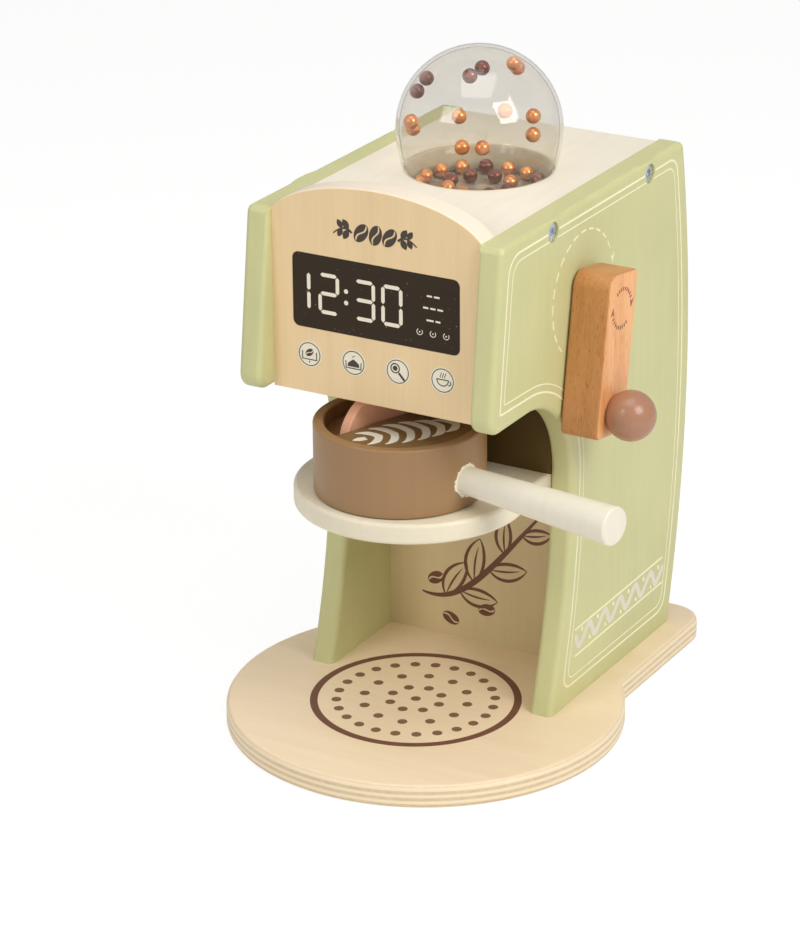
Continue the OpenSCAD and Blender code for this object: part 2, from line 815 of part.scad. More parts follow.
module drum_pegs() {
  color([0.80, 0.64, 0.44])
  peg_places() translate([0, 0, peg_root]) cylinder(d = peg_d, h = drum_r - peg_root, $fn = small_fn);
}

module knob_ball() {
  color([0.70, 0.50, 0.43])
  at_crank() translate([knob_x, 0, -knob_offset]) rotate([0, 90, 0]) difference() {
    sphere(d = knob_d, $fn = round_fn);
    translate([0, 0, -knob_d - knob_flat]) cylinder(d = 2 * knob_d, h = knob_d, $fn = small_fn);
    translate([0, 0, -knob_d])
      cylinder(d = knob_screw_d, h = knob_d - knob_flat + knob_thread, $fn = small_fn);
  }
}

module knob_screw() {
  tip_x = knob_x - knob_flat + knob_thread;
  color([0.72, 0.73, 0.75])
  at_crank() {
    rod_x(knob_head_x, 0, -knob_offset, knob_screw_d / 2, tip_x - knob_head_x);
    rod_x(knob_head_x, 0, -knob_offset, knob_head_d / 2, knob_head_t);
  }
}

base_board();
left_side_panel();
right_side_panel();
front_panel();
top_board();
head_floor();
inner_wall();
picture_panel();
rear_panel();
glue_blocks();
shelf();
shelf_dowels();
front_dowels();
cap_screws();
base_screws();
rear_screws();
dome();
bead_tray();
tray_screws();
beads();
cup();
cup_handle();
cup_filling();
token();
crank_arm();
crank_axle();
crank_washer();
axle_collar();
collar_pin();
drum_hub();
drum_pegs();
knob_ball();
knob_screw();
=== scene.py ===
# %% [markdown]
# # Finishing a wooden toy coffee maker
# The frame brings every board, peg and screw of the toy at its real size and place. This lesson
# gives them what a toy factory gives them next: rounded arrises, paint, lacquer, printed ornament,
# a clear bead dome and shining beads. No part is moved or resized on the way.
# Lengths are written in millimetres and multiplied by mm, because Blender works in metres.

# %% The frame
import json
import math
import random
import bmesh
import bpy
from mathutils import Matrix, Vector


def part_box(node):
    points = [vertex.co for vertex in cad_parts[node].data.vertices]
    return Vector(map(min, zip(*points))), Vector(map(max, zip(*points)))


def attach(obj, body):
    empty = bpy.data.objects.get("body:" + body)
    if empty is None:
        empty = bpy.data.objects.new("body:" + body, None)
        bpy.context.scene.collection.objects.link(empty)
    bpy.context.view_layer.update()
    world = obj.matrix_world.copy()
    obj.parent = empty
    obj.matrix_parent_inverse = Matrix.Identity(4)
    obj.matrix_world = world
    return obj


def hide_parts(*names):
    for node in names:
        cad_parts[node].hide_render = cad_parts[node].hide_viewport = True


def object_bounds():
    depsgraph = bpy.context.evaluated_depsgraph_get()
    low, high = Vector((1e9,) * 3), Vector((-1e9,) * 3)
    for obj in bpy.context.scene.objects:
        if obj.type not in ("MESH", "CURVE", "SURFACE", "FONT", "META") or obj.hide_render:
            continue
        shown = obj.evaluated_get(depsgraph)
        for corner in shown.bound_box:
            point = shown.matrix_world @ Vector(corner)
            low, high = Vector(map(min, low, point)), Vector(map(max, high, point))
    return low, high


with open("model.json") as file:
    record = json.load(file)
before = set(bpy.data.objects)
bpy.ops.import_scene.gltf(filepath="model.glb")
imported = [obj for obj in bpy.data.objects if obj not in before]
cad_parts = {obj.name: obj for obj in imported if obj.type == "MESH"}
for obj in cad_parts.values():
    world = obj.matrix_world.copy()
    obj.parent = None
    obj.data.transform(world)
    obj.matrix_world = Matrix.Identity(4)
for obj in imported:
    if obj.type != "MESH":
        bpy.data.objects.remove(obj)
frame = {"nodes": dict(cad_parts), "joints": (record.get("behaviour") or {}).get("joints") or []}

cad_box = [list(corner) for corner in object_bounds()]
mm = 0.001
toy_size = [round((high - low) / mm, 1) for low, high in zip(*cad_box)]
print("toy, in mm:", toy_size)

# %% [markdown]
# ## Places to work from
# Every later size starts from a few boxes of the frame, so that the finish follows the construction.
# The crank's pivot is read from its joint. The outline of the side panels is the one thing that a box
# can't tell, so its radii are written here as the joiner would note them.

# %% Places on the toy
base_low, base_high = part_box("base_board")
panel_low, panel_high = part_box("right_side_panel")
front_low, front_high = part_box("front_panel")
picture_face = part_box("picture_panel")[0].y
cup_low, cup_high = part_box("cup")
handle_low, handle_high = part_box("cup_handle")
arm_low, arm_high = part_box("crank_arm")
filling_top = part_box("cup_filling")[1].z
joints = {joint["name"]: joint for joint in frame["joints"]}
crank_pivot = Vector(joints["crank_turn"]["pos_m"])
deck = base_high.z
cup_axis = (cup_low + cup_high) / 2
head_under = front_low.z - deck
print("deck at", round(deck / mm, 1), "mm, crank pivot at", [round(c / mm, 1) for c in crank_pivot])

# %% Radii of the side panels' outline
arch_r = 46 * mm
waist_y = 33.5 * mm
foot_y = 13 * mm
arch_centre = Vector((waist_y - arch_r, head_under - arch_r))
foot_step = waist_y - foot_y
column_r = (arch_centre.y ** 2 + foot_step ** 2) / (2 * foot_step)


# %% Helper that puts a new object in the scene
def add_object(name, data):
    thing = bpy.data.objects.new(name, data)
    bpy.context.scene.collection.objects.link(thing)
    return thing


# %% [markdown]
# ## The camera
# A long lens from the front right, a little above the toy, keeps its verticals nearly parallel.
# The camera is placed by its position and three angles, because those are what a photographer sets.

# %% Camera
camera_place = Vector((0.8064, -1.4092, 0.8077))
camera_turn = math.radians(30.03)
camera_drop = math.radians(22.55)
camera_lean = math.radians(-0.43)
lens_length = 136.8

camera_data = bpy.data.cameras.new("camera")
camera_data.lens = lens_length
camera = add_object("camera", camera_data)
camera.matrix_world = (
    Matrix.Translation(camera_place)
    @ Matrix.Rotation(camera_turn, 4, "Z")
    @ Matrix.Rotation(math.pi / 2 - camera_drop, 4, "X")
    @ Matrix.Rotation(camera_lean, 4, "Z")
)
bpy.context.scene.camera = camera
bpy.context.scene.view_settings.view_transform = "Standard"

# %% [markdown]
# ## Small helpers for shader nodes
# A material is a tree of nodes, and building one by hand takes many lines. One helper adds a node,
# sets its properties and fills its sockets: a value is written in, and a socket is linked.
# Colours are noted as on a paint card, 0 to 255, and turned into the linear values that light needs.

# %% Node helpers
def paint_card(red, green, blue, alpha=1.0):
    """A colour from a paint card, as the linear colour that Blender calculates with."""
    steps = [channel / 255 for channel in (red, green, blue)]
    linear = [s / 12.92 if s <= 0.04045 else ((s + 0.055) / 1.055) ** 2.4 for s in steps]
    return (*linear, alpha)


def fill_socket(tree, socket, value):
    if isinstance(value, bpy.types.NodeSocket):
        tree.links.new(value, socket)
    else:
        socket.default_value = value


def add_node(tree, kind, settings=None, sockets=None):
    """A new shader node, with its properties set and its sockets filled by name or number."""
    node = tree.nodes.new("ShaderNode" + kind)
    for name, value in (settings or {}).items():
        setattr(node, name, value)
    for name, value in (sockets or {}).items():
        fill_socket(tree, node.inputs[name], value)
    return node


def calculate(tree, operation, first, second=0.0):
    return add_node(tree, "Math", {"operation": operation}, {0: first, 1: second}).outputs[0]


def times(tree, first, second):
    return calculate(tree, "MULTIPLY", first, second)


def plus(tree, first, second):
    return calculate(tree, "ADD", first, second)


def part_of(tree, vector, axis):
    """One coordinate of a vector socket, as a number."""
    return add_node(tree, "SeparateXYZ", None, {0: vector}).outputs[axis]


def facing(tree, normal, axis):
    """How squarely a surface faces an axis, from 0 to 1."""
    return calculate(tree, "ABSOLUTE", part_of(tree, normal, axis))


def blend_colours(tree, amount, first, second, mode="MIX"):
    settings = {"data_type": "RGBA", "blend_type": mode}
    return add_node(tree, "Mix", settings, {0: amount, 6: first, 7: second}).outputs[2]


def spread(tree, value, low, high, to_low=0.0, to_high=1.0):
    """Stretches the range from low to high of a value to a new range, and clips the rest."""
    sockets = {"Value": value, "From Min": low, "From Max": high, "To Min": to_low, "To Max": to_high}
    return add_node(tree, "MapRange", None, sockets).outputs[0]


def stretched(tree, place, scale):
    """Scales coordinates, so that a pattern gets longer along one direction."""
    return add_node(tree, "Mapping", None, {"Vector": place, "Scale": scale}).outputs[0]


def noise(tree, place, scale, detail=2.0, roughness=0.5, distortion=0.0):
    sockets = {"Vector": place, "Scale": scale, "Detail": detail, "Roughness": roughness}
    sockets["Distortion"] = distortion
    return add_node(tree, "TexNoise", None, sockets).outputs[0]


def full_noise(tree, place, scale, *shape):
    """Noise that is stretched to the whole range from 0 to 1."""
    return spread(tree, noise(tree, place, scale, *shape), 0.3, 0.7)


def seen_rays(tree):
    """1 for rays from the camera, also those that come through the dome, and 0 for all others."""
    rays = add_node(tree, "LightPath").outputs
    return calculate(tree, "MAXIMUM", rays["Is Camera Ray"], rays["Is Transmission Ray"])


def mix_on_surface(tree, amount, first, second):
    """Gives a material's surface a mix of two shaders."""
    mixed = add_node(tree, "MixShader", None, {0: amount, 1: first.outputs[0], 2: second.outputs[0]})
    fill_socket(tree, tree.nodes["Material Output"].inputs["Surface"], mixed.outputs[0])


# %% [markdown]
# ## Shader groups
# Several finishes share an effect: wood figure shows in beech and in plywood, and paint covers most
# boards and turned parts. Each effect is a node group with named inputs, built once and set by each
# material.

# %% Group helper
SOCKET_KINDS = {"Place": "Vector", "Normal": "Vector"}
COLOUR_NAMES = ("Pale", "Dark", "Colour")


def new_group(name, inputs, outputs):
    """An empty node group. Its sockets are numbers unless their name says colour or vector."""
    tree = bpy.data.node_groups.new(name, "ShaderNodeTree")
    for names, side in ((inputs, "INPUT"), (outputs, "OUTPUT")):
        for socket in names:
            kind = "Color" if socket in COLOUR_NAMES else SOCKET_KINDS.get(socket, "Float")
            tree.interface.new_socket(name=socket, in_out=side, socket_type="NodeSocket" + kind)
    return tree, tree.nodes.new("NodeGroupInput").outputs, tree.nodes.new("NodeGroupOutput").inputs


def use_group(tree, group, sockets):
    node = tree.nodes.new("ShaderNodeGroup")
    node.node_tree = group
    for name, value in sockets.items():
        fill_socket(tree, node.inputs[name], value)
    return node.outputs


# %% Wood figure: growth bands, fine streaks and open pores, all long along X
def build_wood_figure():
    inputs = ("Place", "Pale", "Dark", "Contrast", "Pores")
    tree, given, result = new_group("wood figure", inputs, ("Colour", "Height"))
    bands = full_noise(tree, stretched(tree, given["Place"], (5, 70, 70)), 1.0, 3.0, 0.55, 0.4)
    streaks = full_noise(tree, stretched(tree, given["Place"], (22, 800, 800)), 1.0, 2.0, 0.6)
    pores = noise(tree, stretched(tree, given["Place"], (150, 1500, 1500)), 1.0, 1.0)
    figure = plus(tree, times(tree, bands, 0.6), times(tree, streaks, 0.4))
    figure = times(tree, figure, given["Contrast"])
    colour = blend_colours(tree, figure, given["Pale"], given["Dark"])
    open_pores = times(tree, spread(tree, pores, 0.62, 0.72), given["Pores"])
    colour = blend_colours(tree, times(tree, open_pores, 0.55), colour, given["Dark"], "MULTIPLY")
    fill_socket(tree, result["Colour"], colour)
    height = calculate(tree, "SUBTRACT", times(tree, streaks, 0.25), open_pores)
    fill_socket(tree, result["Height"], height)
    return tree


wood_figure = build_wood_figure()


# %% Paint film: a faint cloudiness, the grain that shows through, and the skin of sprayed paint
def build_paint_film():
    outputs = ("Colour", "Gloss", "Height")
    tree, given, result = new_group("paint film", ("Place", "Colour", "Grain"), outputs)
    clouds = noise(tree, given["Place"], 18.0, 3.0)
    through = noise(tree, stretched(tree, given["Place"], (8, 260, 260)), 1.0, 3.0, 0.6)
    skin = noise(tree, given["Place"], 900.0, 1.0)
    shade = spread(tree, clouds, 0.3, 0.7, 0.955, 1.03)
    grain_shade = spread(tree, through, 0.35, 0.7, 1.0, 0.965)
    shade = times(tree, shade, grain_shade)
    grey = add_node(tree, "CombineColor", None, {0: shade, 1: shade, 2: shade}).outputs[0]
    fill_socket(tree, result["Colour"], blend_colours(tree, 1.0, given["Colour"], grey, "MULTIPLY"))
    fill_socket(tree, result["Gloss"], spread(tree, clouds, 0.3, 0.7, 0.05, -0.05))
    relief = plus(tree, times(tree, through, given["Grain"]), times(tree, skin, 0.12))
    fill_socket(tree, result["Height"], relief)
    return tree


paint_film = build_paint_film()


# %% Chipped arris: a mask of small chips, only where a surface turns from one face to the next
def build_chipped_arris():
    tree, given, result = new_group("chipped arris", ("Place", "Normal", "Amount"), ("Mask",))
    across = facing(tree, given["Normal"], 0)
    on_bend = times(tree, spread(tree, across, 0.25, 0.5), spread(tree, across, 0.97, 0.8))
    chips = noise(tree, given["Place"], 160.0, 3.0, 0.7)
    patches = noise(tree, given["Place"], 28.0, 1.0)
    chips = times(tree, spread(tree, chips, 0.66, 0.69), spread(tree, patches, 0.55, 0.6))
    fill_socket(tree, result["Mask"], times(tree, times(tree, chips, on_bend), given["Amount"]))
    return tree


chipped_arris = build_chipped_arris()


# %% Plies: pale and darker layers through the thickness of a board
def build_plies():
    inputs = ("Place", "Depth", "Pale", "Dark")
    tree, given, result = new_group("plies", inputs, ("Colour", "Height"))
    wander = noise(tree, stretched(tree, given["Place"], (12, 12, 60)), 1.0, 2.0)
    wander = spread(tree, wander, 0.3, 0.7, -0.12, 0.12)
    layer = calculate(tree, "PINGPONG", plus(tree, given["Depth"], wander), 1.0)
    layer = spread(tree, layer, 0.35, 0.65)
    fibres = noise(tree, stretched(tree, given["Place"], (300, 300, 900)), 1.0, 2.0)
    layer = times(tree, layer, spread(tree, fibres, 0.25, 0.6, 0.55, 1.0))
    fill_socket(tree, result["Colour"], blend_colours(tree, layer, given["Pale"], given["Dark"]))
    fill_socket(tree, result["Height"], calculate(tree, "SUBTRACT", 0.0, layer))
    return tree


plies = build_plies()
print("shader groups:", [group.name for group in bpy.data.node_groups])


# %% [markdown]
# ## Materials
# Each finish starts from the same shader and Object coordinates, which stay with the piece when it
# moves. Wood is turned so that its grain runs along X of the pattern. Satin paint has a roughness
# near 0.4, lacquer adds a thin clear coat, and a small bump keeps the surfaces from looking cast.

# %% Material helpers
def new_material(name):
    material = bpy.data.materials.new(name)
    material.use_nodes = True
    tree = material.node_tree
    return material, tree, tree.nodes["Principled BSDF"]


def object_place(tree, turn=(0.0, 0.0, 0.0)):
    """Object coordinates, turned so that a pattern's X runs along the grain."""
    place = add_node(tree, "TexCoord").outputs["Object"]
    return add_node(tree, "Mapping", None, {"Vector": place, "Rotation": turn}).outputs[0]


def raise_relief(tree, shader, height, strength, distance=0.2 * mm):
    sockets = {"Height": height, "Strength": strength, "Distance": distance}
    bump = add_node(tree, "Bump", None, sockets)
    fill_socket(tree, shader.inputs["Normal"], bump.outputs[0])


def set_shader(shader, **values):
    """Fills plain sockets of the Principled shader: words are joined by an underscore."""
    for name, value in values.items():
        shader.inputs[name.replace("_", " ")].default_value = value


GRAIN_ALONG_X = (0.0, 0.0, 0.0)
GRAIN_ALONG_Y = (0.0, 0.0, -math.pi / 2)
GRAIN_ALONG_Z = (0.0, math.pi / 2, 0.0)


# %% Paints
def ragged_ring(tree, centre, radius):
    """A mask of a ragged ring round a point, for paint that broke out round a hole."""
    place = object_place(tree)
    measure = {"operation": "DISTANCE"}
    away = add_node(tree, "VectorMath", measure, {0: place, 1: centre}).outputs["Value"]
    rag = spread(tree, noise(tree, place, 420.0, 3.0, 0.7), 0.3, 0.7, -0.9 * mm, 0.9 * mm)
    return spread(tree, plus(tree, away, rag), radius, radius - 0.2 * mm)


def satin_paint(name, colour, roughness=0.4, grain=0.5, turn=GRAIN_ALONG_Z, chips=None, broken=None):
    """Sprayed satin paint over wood. chips is the colour that shows where an arris lost its paint,
    and broken holds the centre, the radius and the colour of a ragged ring round a hole."""
    material, tree, shader = new_material(name)
    place = object_place(tree, turn)
    film = use_group(tree, paint_film, {"Place": place, "Colour": colour, "Grain": grain})
    base = film["Colour"]
    if chips:
        normal = add_node(tree, "TexCoord").outputs["Normal"]
        mask = use_group(tree, chipped_arris, {"Place": place, "Normal": normal, "Amount": 0.85})["Mask"]
        base = blend_colours(tree, mask, base, chips)
    if broken:
        centre, radius, bared = broken
        base = blend_colours(tree, ragged_ring(tree, centre, radius), base, bared)
    fill_socket(tree, shader.inputs["Base Color"], base)
    fill_socket(tree, shader.inputs["Roughness"], plus(tree, film["Gloss"], roughness))
    raise_relief(tree, shader, film["Height"], 0.25)
    return material


bare_wood = paint_card(247, 240, 205)
green_paint = satin_paint("green paint", paint_card(206, 205, 150), chips=bare_wood)
cream_paint = satin_paint("cream paint", paint_card(241, 233, 215), turn=GRAIN_ALONG_Y)
shelf_paint = satin_paint("shelf paint", paint_card(234, 225, 200), turn=GRAIN_ALONG_Y)
# The picture panel's paint is partly its own cream and partly painted shade: it is darkened and warmed for
# the shade and warm bounce in the cup bay.
picture_paint_and_painted_shade = satin_paint("picture panel paint and painted shade", paint_card(226, 206, 164))
# The inner wall's dark brown is painted shade: it stands for the deep shadow under the head.
inner_wall_painted_shade = satin_paint("inner wall painted shade", paint_card(90, 70, 24), 0.6)
handle_axis_z = (handle_low.z + handle_high.z) / 2
root_turn = math.radians(-10.4)
root_x = cup_axis.x + (cup_high.x - cup_axis.x) * math.cos(root_turn)
root_y = cup_axis.y + (cup_high.x - cup_axis.x) * math.sin(root_turn)
cup_break = ((root_x, root_y, handle_axis_z), 8.4 * mm, paint_card(238, 230, 208))
cup_paint = satin_paint("cup paint", paint_card(158, 122, 82), 0.38, broken=cup_break)
filling_paint = satin_paint("filling paint", paint_card(126, 98, 60), 0.42)
handle_paint = satin_paint("handle paint", paint_card(234, 228, 210), 0.42, 0.9)
token_paint = satin_paint("token paint", paint_card(242, 182, 148), 0.4)
knob_paint = satin_paint("knob paint", paint_card(172, 125, 99), 0.28, 0.1)


# %% Printing inks
def printing_ink(name, colour, roughness=0.5, specks=None, shine=0.5):
    """A thin opaque print. specks is the colour of the pinholes that a worn screen leaves."""
    material, tree, shader = new_material(name)
    place = object_place(tree)
    film = use_group(tree, paint_film, {"Place": place, "Colour": colour, "Grain": 0.1})
    base = film["Colour"]
    if specks:
        dots = spread(tree, noise(tree, place, 620.0, 1.0), 0.735, 0.775)
        patches = spread(tree, noise(tree, place, 55.0, 2.0), 0.4, 0.6)
        base = blend_colours(tree, times(tree, times(tree, dots, patches), 0.55), base, specks)
    fill_socket(tree, shader.inputs["Base Color"], base)
    set_shader(shader, Roughness=roughness, Specular_IOR_Level=shine)
    raise_relief(tree, shader, film["Height"], 0.1)
    return material


display_ink = printing_ink("display ink", paint_card(50, 38, 24), 0.45, paint_card(180, 148, 104), 0.22)
digit_ink = printing_ink("digit ink", paint_card(240, 232, 210))
dark_ink = printing_ink("dark ink", paint_card(66, 56, 46))
brown_ink = printing_ink("brown ink", paint_card(116, 74, 56))
dot_ink = printing_ink("drip dot ink", paint_card(132, 98, 72))
cream_ink = printing_ink("cream ink", paint_card(248, 243, 208))
wave_ink = printing_ink("wave ink", paint_card(228, 222, 205))
milk_ink = printing_ink("milk ink", paint_card(234, 229, 212))
mauve_ink = printing_ink("mauve ink", paint_card(140, 86, 72))


# %% Woods
def clear_wood(
        name, pale, dark, turn, contrast=0.6, pores=0.3, coat=0.25, roughness=0.42, ply=None, sides=None):
    """Lacquered wood. ply is the thickness of one layer where a board shows its edge.
    sides holds the axis of the board's face, a colour for its sides and how that colour is mixed in.
    On the front panel that colour is the cream paint of its edges, and on the crank arm it is painted shade."""
    material, tree, shader = new_material(name)
    place = object_place(tree, turn)
    sockets = {"Place": place, "Pale": pale, "Dark": dark, "Contrast": contrast, "Pores": pores}
    figure = use_group(tree, wood_figure, sockets)
    colour, height = figure["Colour"], figure["Height"]
    if ply:
        corner = add_node(tree, "TexCoord").outputs
        depth = calculate(tree, "DIVIDE", part_of(tree, corner["Object"], 2), ply)
        sockets = {"Place": corner["Object"], "Depth": depth}
        sockets["Pale"] = paint_card(243, 226, 194)
        sockets["Dark"] = paint_card(218, 192, 150)
        edge = use_group(tree, plies, sockets)
        on_edge = spread(tree, facing(tree, corner["Normal"], 2), 0.9, 0.6)
        colour = blend_colours(tree, on_edge, colour, edge["Colour"])
    if sides:
        axis, side_paint_and_shade, mode = sides
        normal = add_node(tree, "TexCoord").outputs["Normal"]
        on_side = spread(tree, facing(tree, normal, axis), 0.92, 0.65)
        colour = blend_colours(tree, on_side, colour, side_paint_and_shade, mode)
    fill_socket(tree, shader.inputs["Base Color"], colour)
    set_shader(shader, Roughness=roughness, Coat_Weight=coat, Coat_Roughness=0.3)
    raise_relief(tree, shader, height, 0.3, 0.1 * mm)
    return material


front_ply = clear_wood(
    "front panel ply", paint_card(240, 212, 166), paint_card(219, 184, 132), GRAIN_ALONG_Z, 0.4, 0.1,
    sides=(1, paint_card(246, 232, 211), "MIX"),
)
base_ply = clear_wood(
    "base ply", paint_card(249, 229, 197), paint_card(234, 206, 166), GRAIN_ALONG_X, 0.45, 0.12, ply=1.7 * mm
)
rear_ply = clear_wood(
    "rear panel ply", paint_card(240, 214, 172), paint_card(218, 184, 136), GRAIN_ALONG_Z, 0.6, 0.2
)
bare_ply = clear_wood(
    "bare ply", paint_card(226, 200, 158), paint_card(196, 162, 112), GRAIN_ALONG_Y, 0.7, 0.4, 0.0, 0.6
)
# The multiply on the arm's sides is mostly painted shade, where they turn away from the key light; a little
# of it is the deeper tone of the beech's side grain.
arm_beech_and_painted_shade = clear_wood(
    "crank arm beech", paint_card(250, 190, 130), paint_card(210, 138, 76), GRAIN_ALONG_Z, 0.75, 1.0, 0.15,
    sides=(0, (0.67, 0.6, 0.48, 1.0), "MULTIPLY"),
)
plain_beech = clear_wood(
    "plain beech", paint_card(226, 190, 140), paint_card(196, 152, 100), GRAIN_ALONG_X, 0.6, 0.6, 0.0, 0.55
)


# %% Metal, plastics and beads
def zinc_plate():
    material, tree, shader = new_material("zinc plate")
    place = object_place(tree)
    tone = full_noise(tree, place, 700.0, 3.0)
    colour = blend_colours(tree, tone, paint_card(176, 188, 200), paint_card(240, 244, 248))
    fill_socket(tree, shader.inputs["Base Color"], colour)
    fill_socket(tree, shader.inputs["Roughness"], spread(tree, tone, 0.0, 1.0, 0.22, 0.4))
    set_shader(shader, Metallic=1.0)
    raise_relief(tree, shader, tone, 0.2, 0.05 * mm)
    return material


def plastic(name, colour, roughness, **values):
    material, tree, shader = new_material(name)
    scuffs = noise(tree, object_place(tree), 90.0, 4.0, 0.7)
    worn = [channel * 0.9 for channel in colour[:3]] + [1.0]
    shade = blend_colours(tree, spread(tree, scuffs, 0.4, 0.8), colour, worn)
    fill_socket(tree, shader.inputs["Base Color"], shade)
    dullness = spread(tree, scuffs, 0.3, 0.8, roughness * 0.8, roughness * 1.4)
    fill_socket(tree, shader.inputs["Roughness"], dullness)
    set_shader(shader, **values)
    return material


def clear_dome_plastic():
    """Clear moulded plastic. Its wall is so thin that it hardly bends the view, so the index is near 1
    and the coat brings the shine. Shadow rays pass it, as caustics would light what lies inside.
    Fine scuffs dull it a little, and the foot sunk below the board's top is tinted a darker grey, so the pit
    seen through it looks darker."""
    material, tree, shader = new_material("clear dome plastic")
    place = object_place(tree)
    in_foot = spread(tree, part_of(tree, place, 2), panel_high.z + 1 * mm, panel_high.z - 1 * mm)
    tint = blend_colours(tree, in_foot, (0.87, 0.85, 0.81, 1.0), (0.68, 0.66, 0.62, 1.0))
    scuffs = spread(tree, noise(tree, place, 60.0, 4.0, 0.7), 0.4, 0.9, 0.0, 0.12)
    tint = blend_colours(tree, scuffs, tint, (0.6, 0.58, 0.55, 1.0))
    fill_socket(tree, shader.inputs["Base Color"], tint)
    set_shader(shader, Transmission_Weight=1.0, IOR=1.01, Roughness=0.0)
    set_shader(shader, Coat_Weight=1.0, Coat_IOR=1.45, Coat_Roughness=0.02)
    passing = add_node(tree, "BsdfTransparent", None, {"Color": (0.95, 0.94, 0.92, 1.0)})
    mix_on_surface(tree, add_node(tree, "LightPath").outputs["Is Shadow Ray"], shader, passing)
    return material


def pearl(name, deep, bright):
    """A pearl coating: metallic, in clouds of a deep and a bright tone, with a hard clear coat."""
    material, tree, shader = new_material(name)
    clouds = full_noise(tree, object_place(tree), 260.0, 2.0)
    fill_socket(tree, shader.inputs["Base Color"], blend_colours(tree, clouds, deep, bright))
    set_shader(shader, Metallic=0.75, Roughness=0.2, Coat_Weight=0.6, Coat_Roughness=0.05)
    return material


zinc = zinc_plate()
nylon = plastic("washer nylon", paint_card(238, 236, 228), 0.5)
smoky_plastic = plastic("smoky tray plastic", paint_card(140, 130, 117), 0.18, Specular_IOR_Level=0.7)
dome_plastic = clear_dome_plastic()
dark_pearl = pearl("dark pearl", paint_card(84, 32, 18), paint_card(132, 60, 38))
copper_pearl = pearl("copper pearl", paint_card(190, 110, 56), paint_card(228, 156, 92))

# %% [markdown]
# ## Finishes for the parts that keep their shape
# A part whose form is already right only needs its material. Its mesh is left as it came.

# %% Materials on the frame's own parts
plain_finishes = {
    "top_board": cream_paint, "head_floor": bare_ply, "inner_wall": inner_wall_painted_shade,
    "picture_panel": picture_paint_and_painted_shade, "rear_panel": rear_ply, "glue_blocks": plain_beech,
    "shelf_dowels": plain_beech, "front_dowels": plain_beech, "cap_screws": zinc,
    "base_screws": zinc, "rear_screws": zinc, "tray_screws": zinc, "collar_pin": zinc,
    "knob_screw": zinc, "dome": dome_plastic, "bead_tray": smoky_plastic,
    "cup_filling": filling_paint, "crank_axle": plain_beech, "crank_washer": nylon,
    "axle_collar": plain_beech, "drum_hub": plain_beech, "drum_pegs": plain_beech,
    "knob_ball": knob_paint,
}
for node_name, finish in plain_finishes.items():
    nodes_mesh = frame["nodes"][node_name].data
    nodes_mesh.materials.clear()
    nodes_mesh.materials.append(finish)
print("parts finished as they are:", len(plain_finishes))


# %% [markdown]
# ## Rounded arrises
# Every painted board of the toy has arrises rounded on a router. Light catches such a round edge, and
# without it wood looks like cardboard. The part's mesh is copied, its doubled points are merged and
# its flat faces joined. Turned parts are then bevelled.
#
# A board with screw holes needs another way, because a bevel has one width and tears the seams that
# run to the holes. So the flat face comes off, rows of points are set on a quarter circle along its
# outline, and a new face with the holes goes on last. The radius may differ from place to place.

# %% Helpers for rims
weld_distance = 0.005 * mm
flat_angle = math.radians(0.2)
in_plane_limit = 0.02 * mm


def welded_copy(node_name):
    """A bmesh of a part, with its doubled points merged."""
    bm = bmesh.new()
    bm.from_mesh(frame["nodes"][node_name].data)
    bmesh.ops.remove_doubles(bm, verts=bm.verts, dist=weld_distance)
    return bm


def merged_copy(node_name):
    """A welded copy, with its flat triangles joined to whole faces."""
    bm = welded_copy(node_name)
    bmesh.ops.dissolve_limit(bm, angle_limit=flat_angle, verts=bm.verts, edges=bm.edges)
    return bm


def sharp_edges(bm, angle=40):
    limit = math.radians(angle)
    return [e for e in bm.edges if len(e.link_faces) == 2 and e.calc_face_angle(0.0) > limit]


def in_plane(item, axis, value):
    """Whether an edge or a face lies flat at one coordinate."""
    return all(abs(point.co[axis] - value) < in_plane_limit for point in item.verts)


def middle(edge):
    return (edge.verts[0].co + edge.verts[1].co) / 2


def longest_rim(edges):
    """The longest of the closed rims that a set of edges makes."""
    rims = []
    waiting = set(edges)
    while waiting:
        rim, grow = [], [waiting.pop()]
        while grow:
            edge = grow.pop()
            rim.append(edge)
            near = {e for v in edge.verts for e in v.link_edges if e in waiting}
            waiting -= near
            grow.extend(near)
        rims.append(rim)
    return max(rims, key=lambda rim: sum(e.calc_length() for e in rim))


def take_off(bm, axis, value):
    """Takes off the flat face at one coordinate. Returns the way into the face at each of its edges."""
    flat = {face for face in bm.faces if in_plane(face, axis, value)}
    ways = {}
    for face in flat:
        for loop in face.loops:
            if not flat.issuperset(loop.edge.link_faces):
                along = loop.link_loop_next.vert.co - loop.vert.co
                ways[loop.edge] = face.normal.cross(along).normalized()
    bmesh.ops.delete(bm, geom=list(flat), context="FACES")
    return ways


def round_off(bm, edges, radius, segments=4):
    bmesh.ops.bevel(
        bm, geom=edges, offset=radius, offset_type="OFFSET", affect="EDGES",
        segments=segments, profile=0.5, material=-1, clamp_overlap=False,
    )


def nowhere(place):
    return False


def way_inwards(vert, edges, ways, stays_sharp):
    """The way in which a rim's point moves as the arris is cut, or None where it stays."""
    soft = [edge for edge in edges if not stays_sharp(middle(edge))]
    if not soft:
        return None
    if len(soft) == 2:
        both = ways[soft[0]] + ways[soft[1]]
        return both * 2 / both.length_squared
    sharp = next(edge for edge in edges if edge not in soft)
    line = sharp.other_vert(vert).co - vert.co
    return line / line.dot(ways[soft[0]])


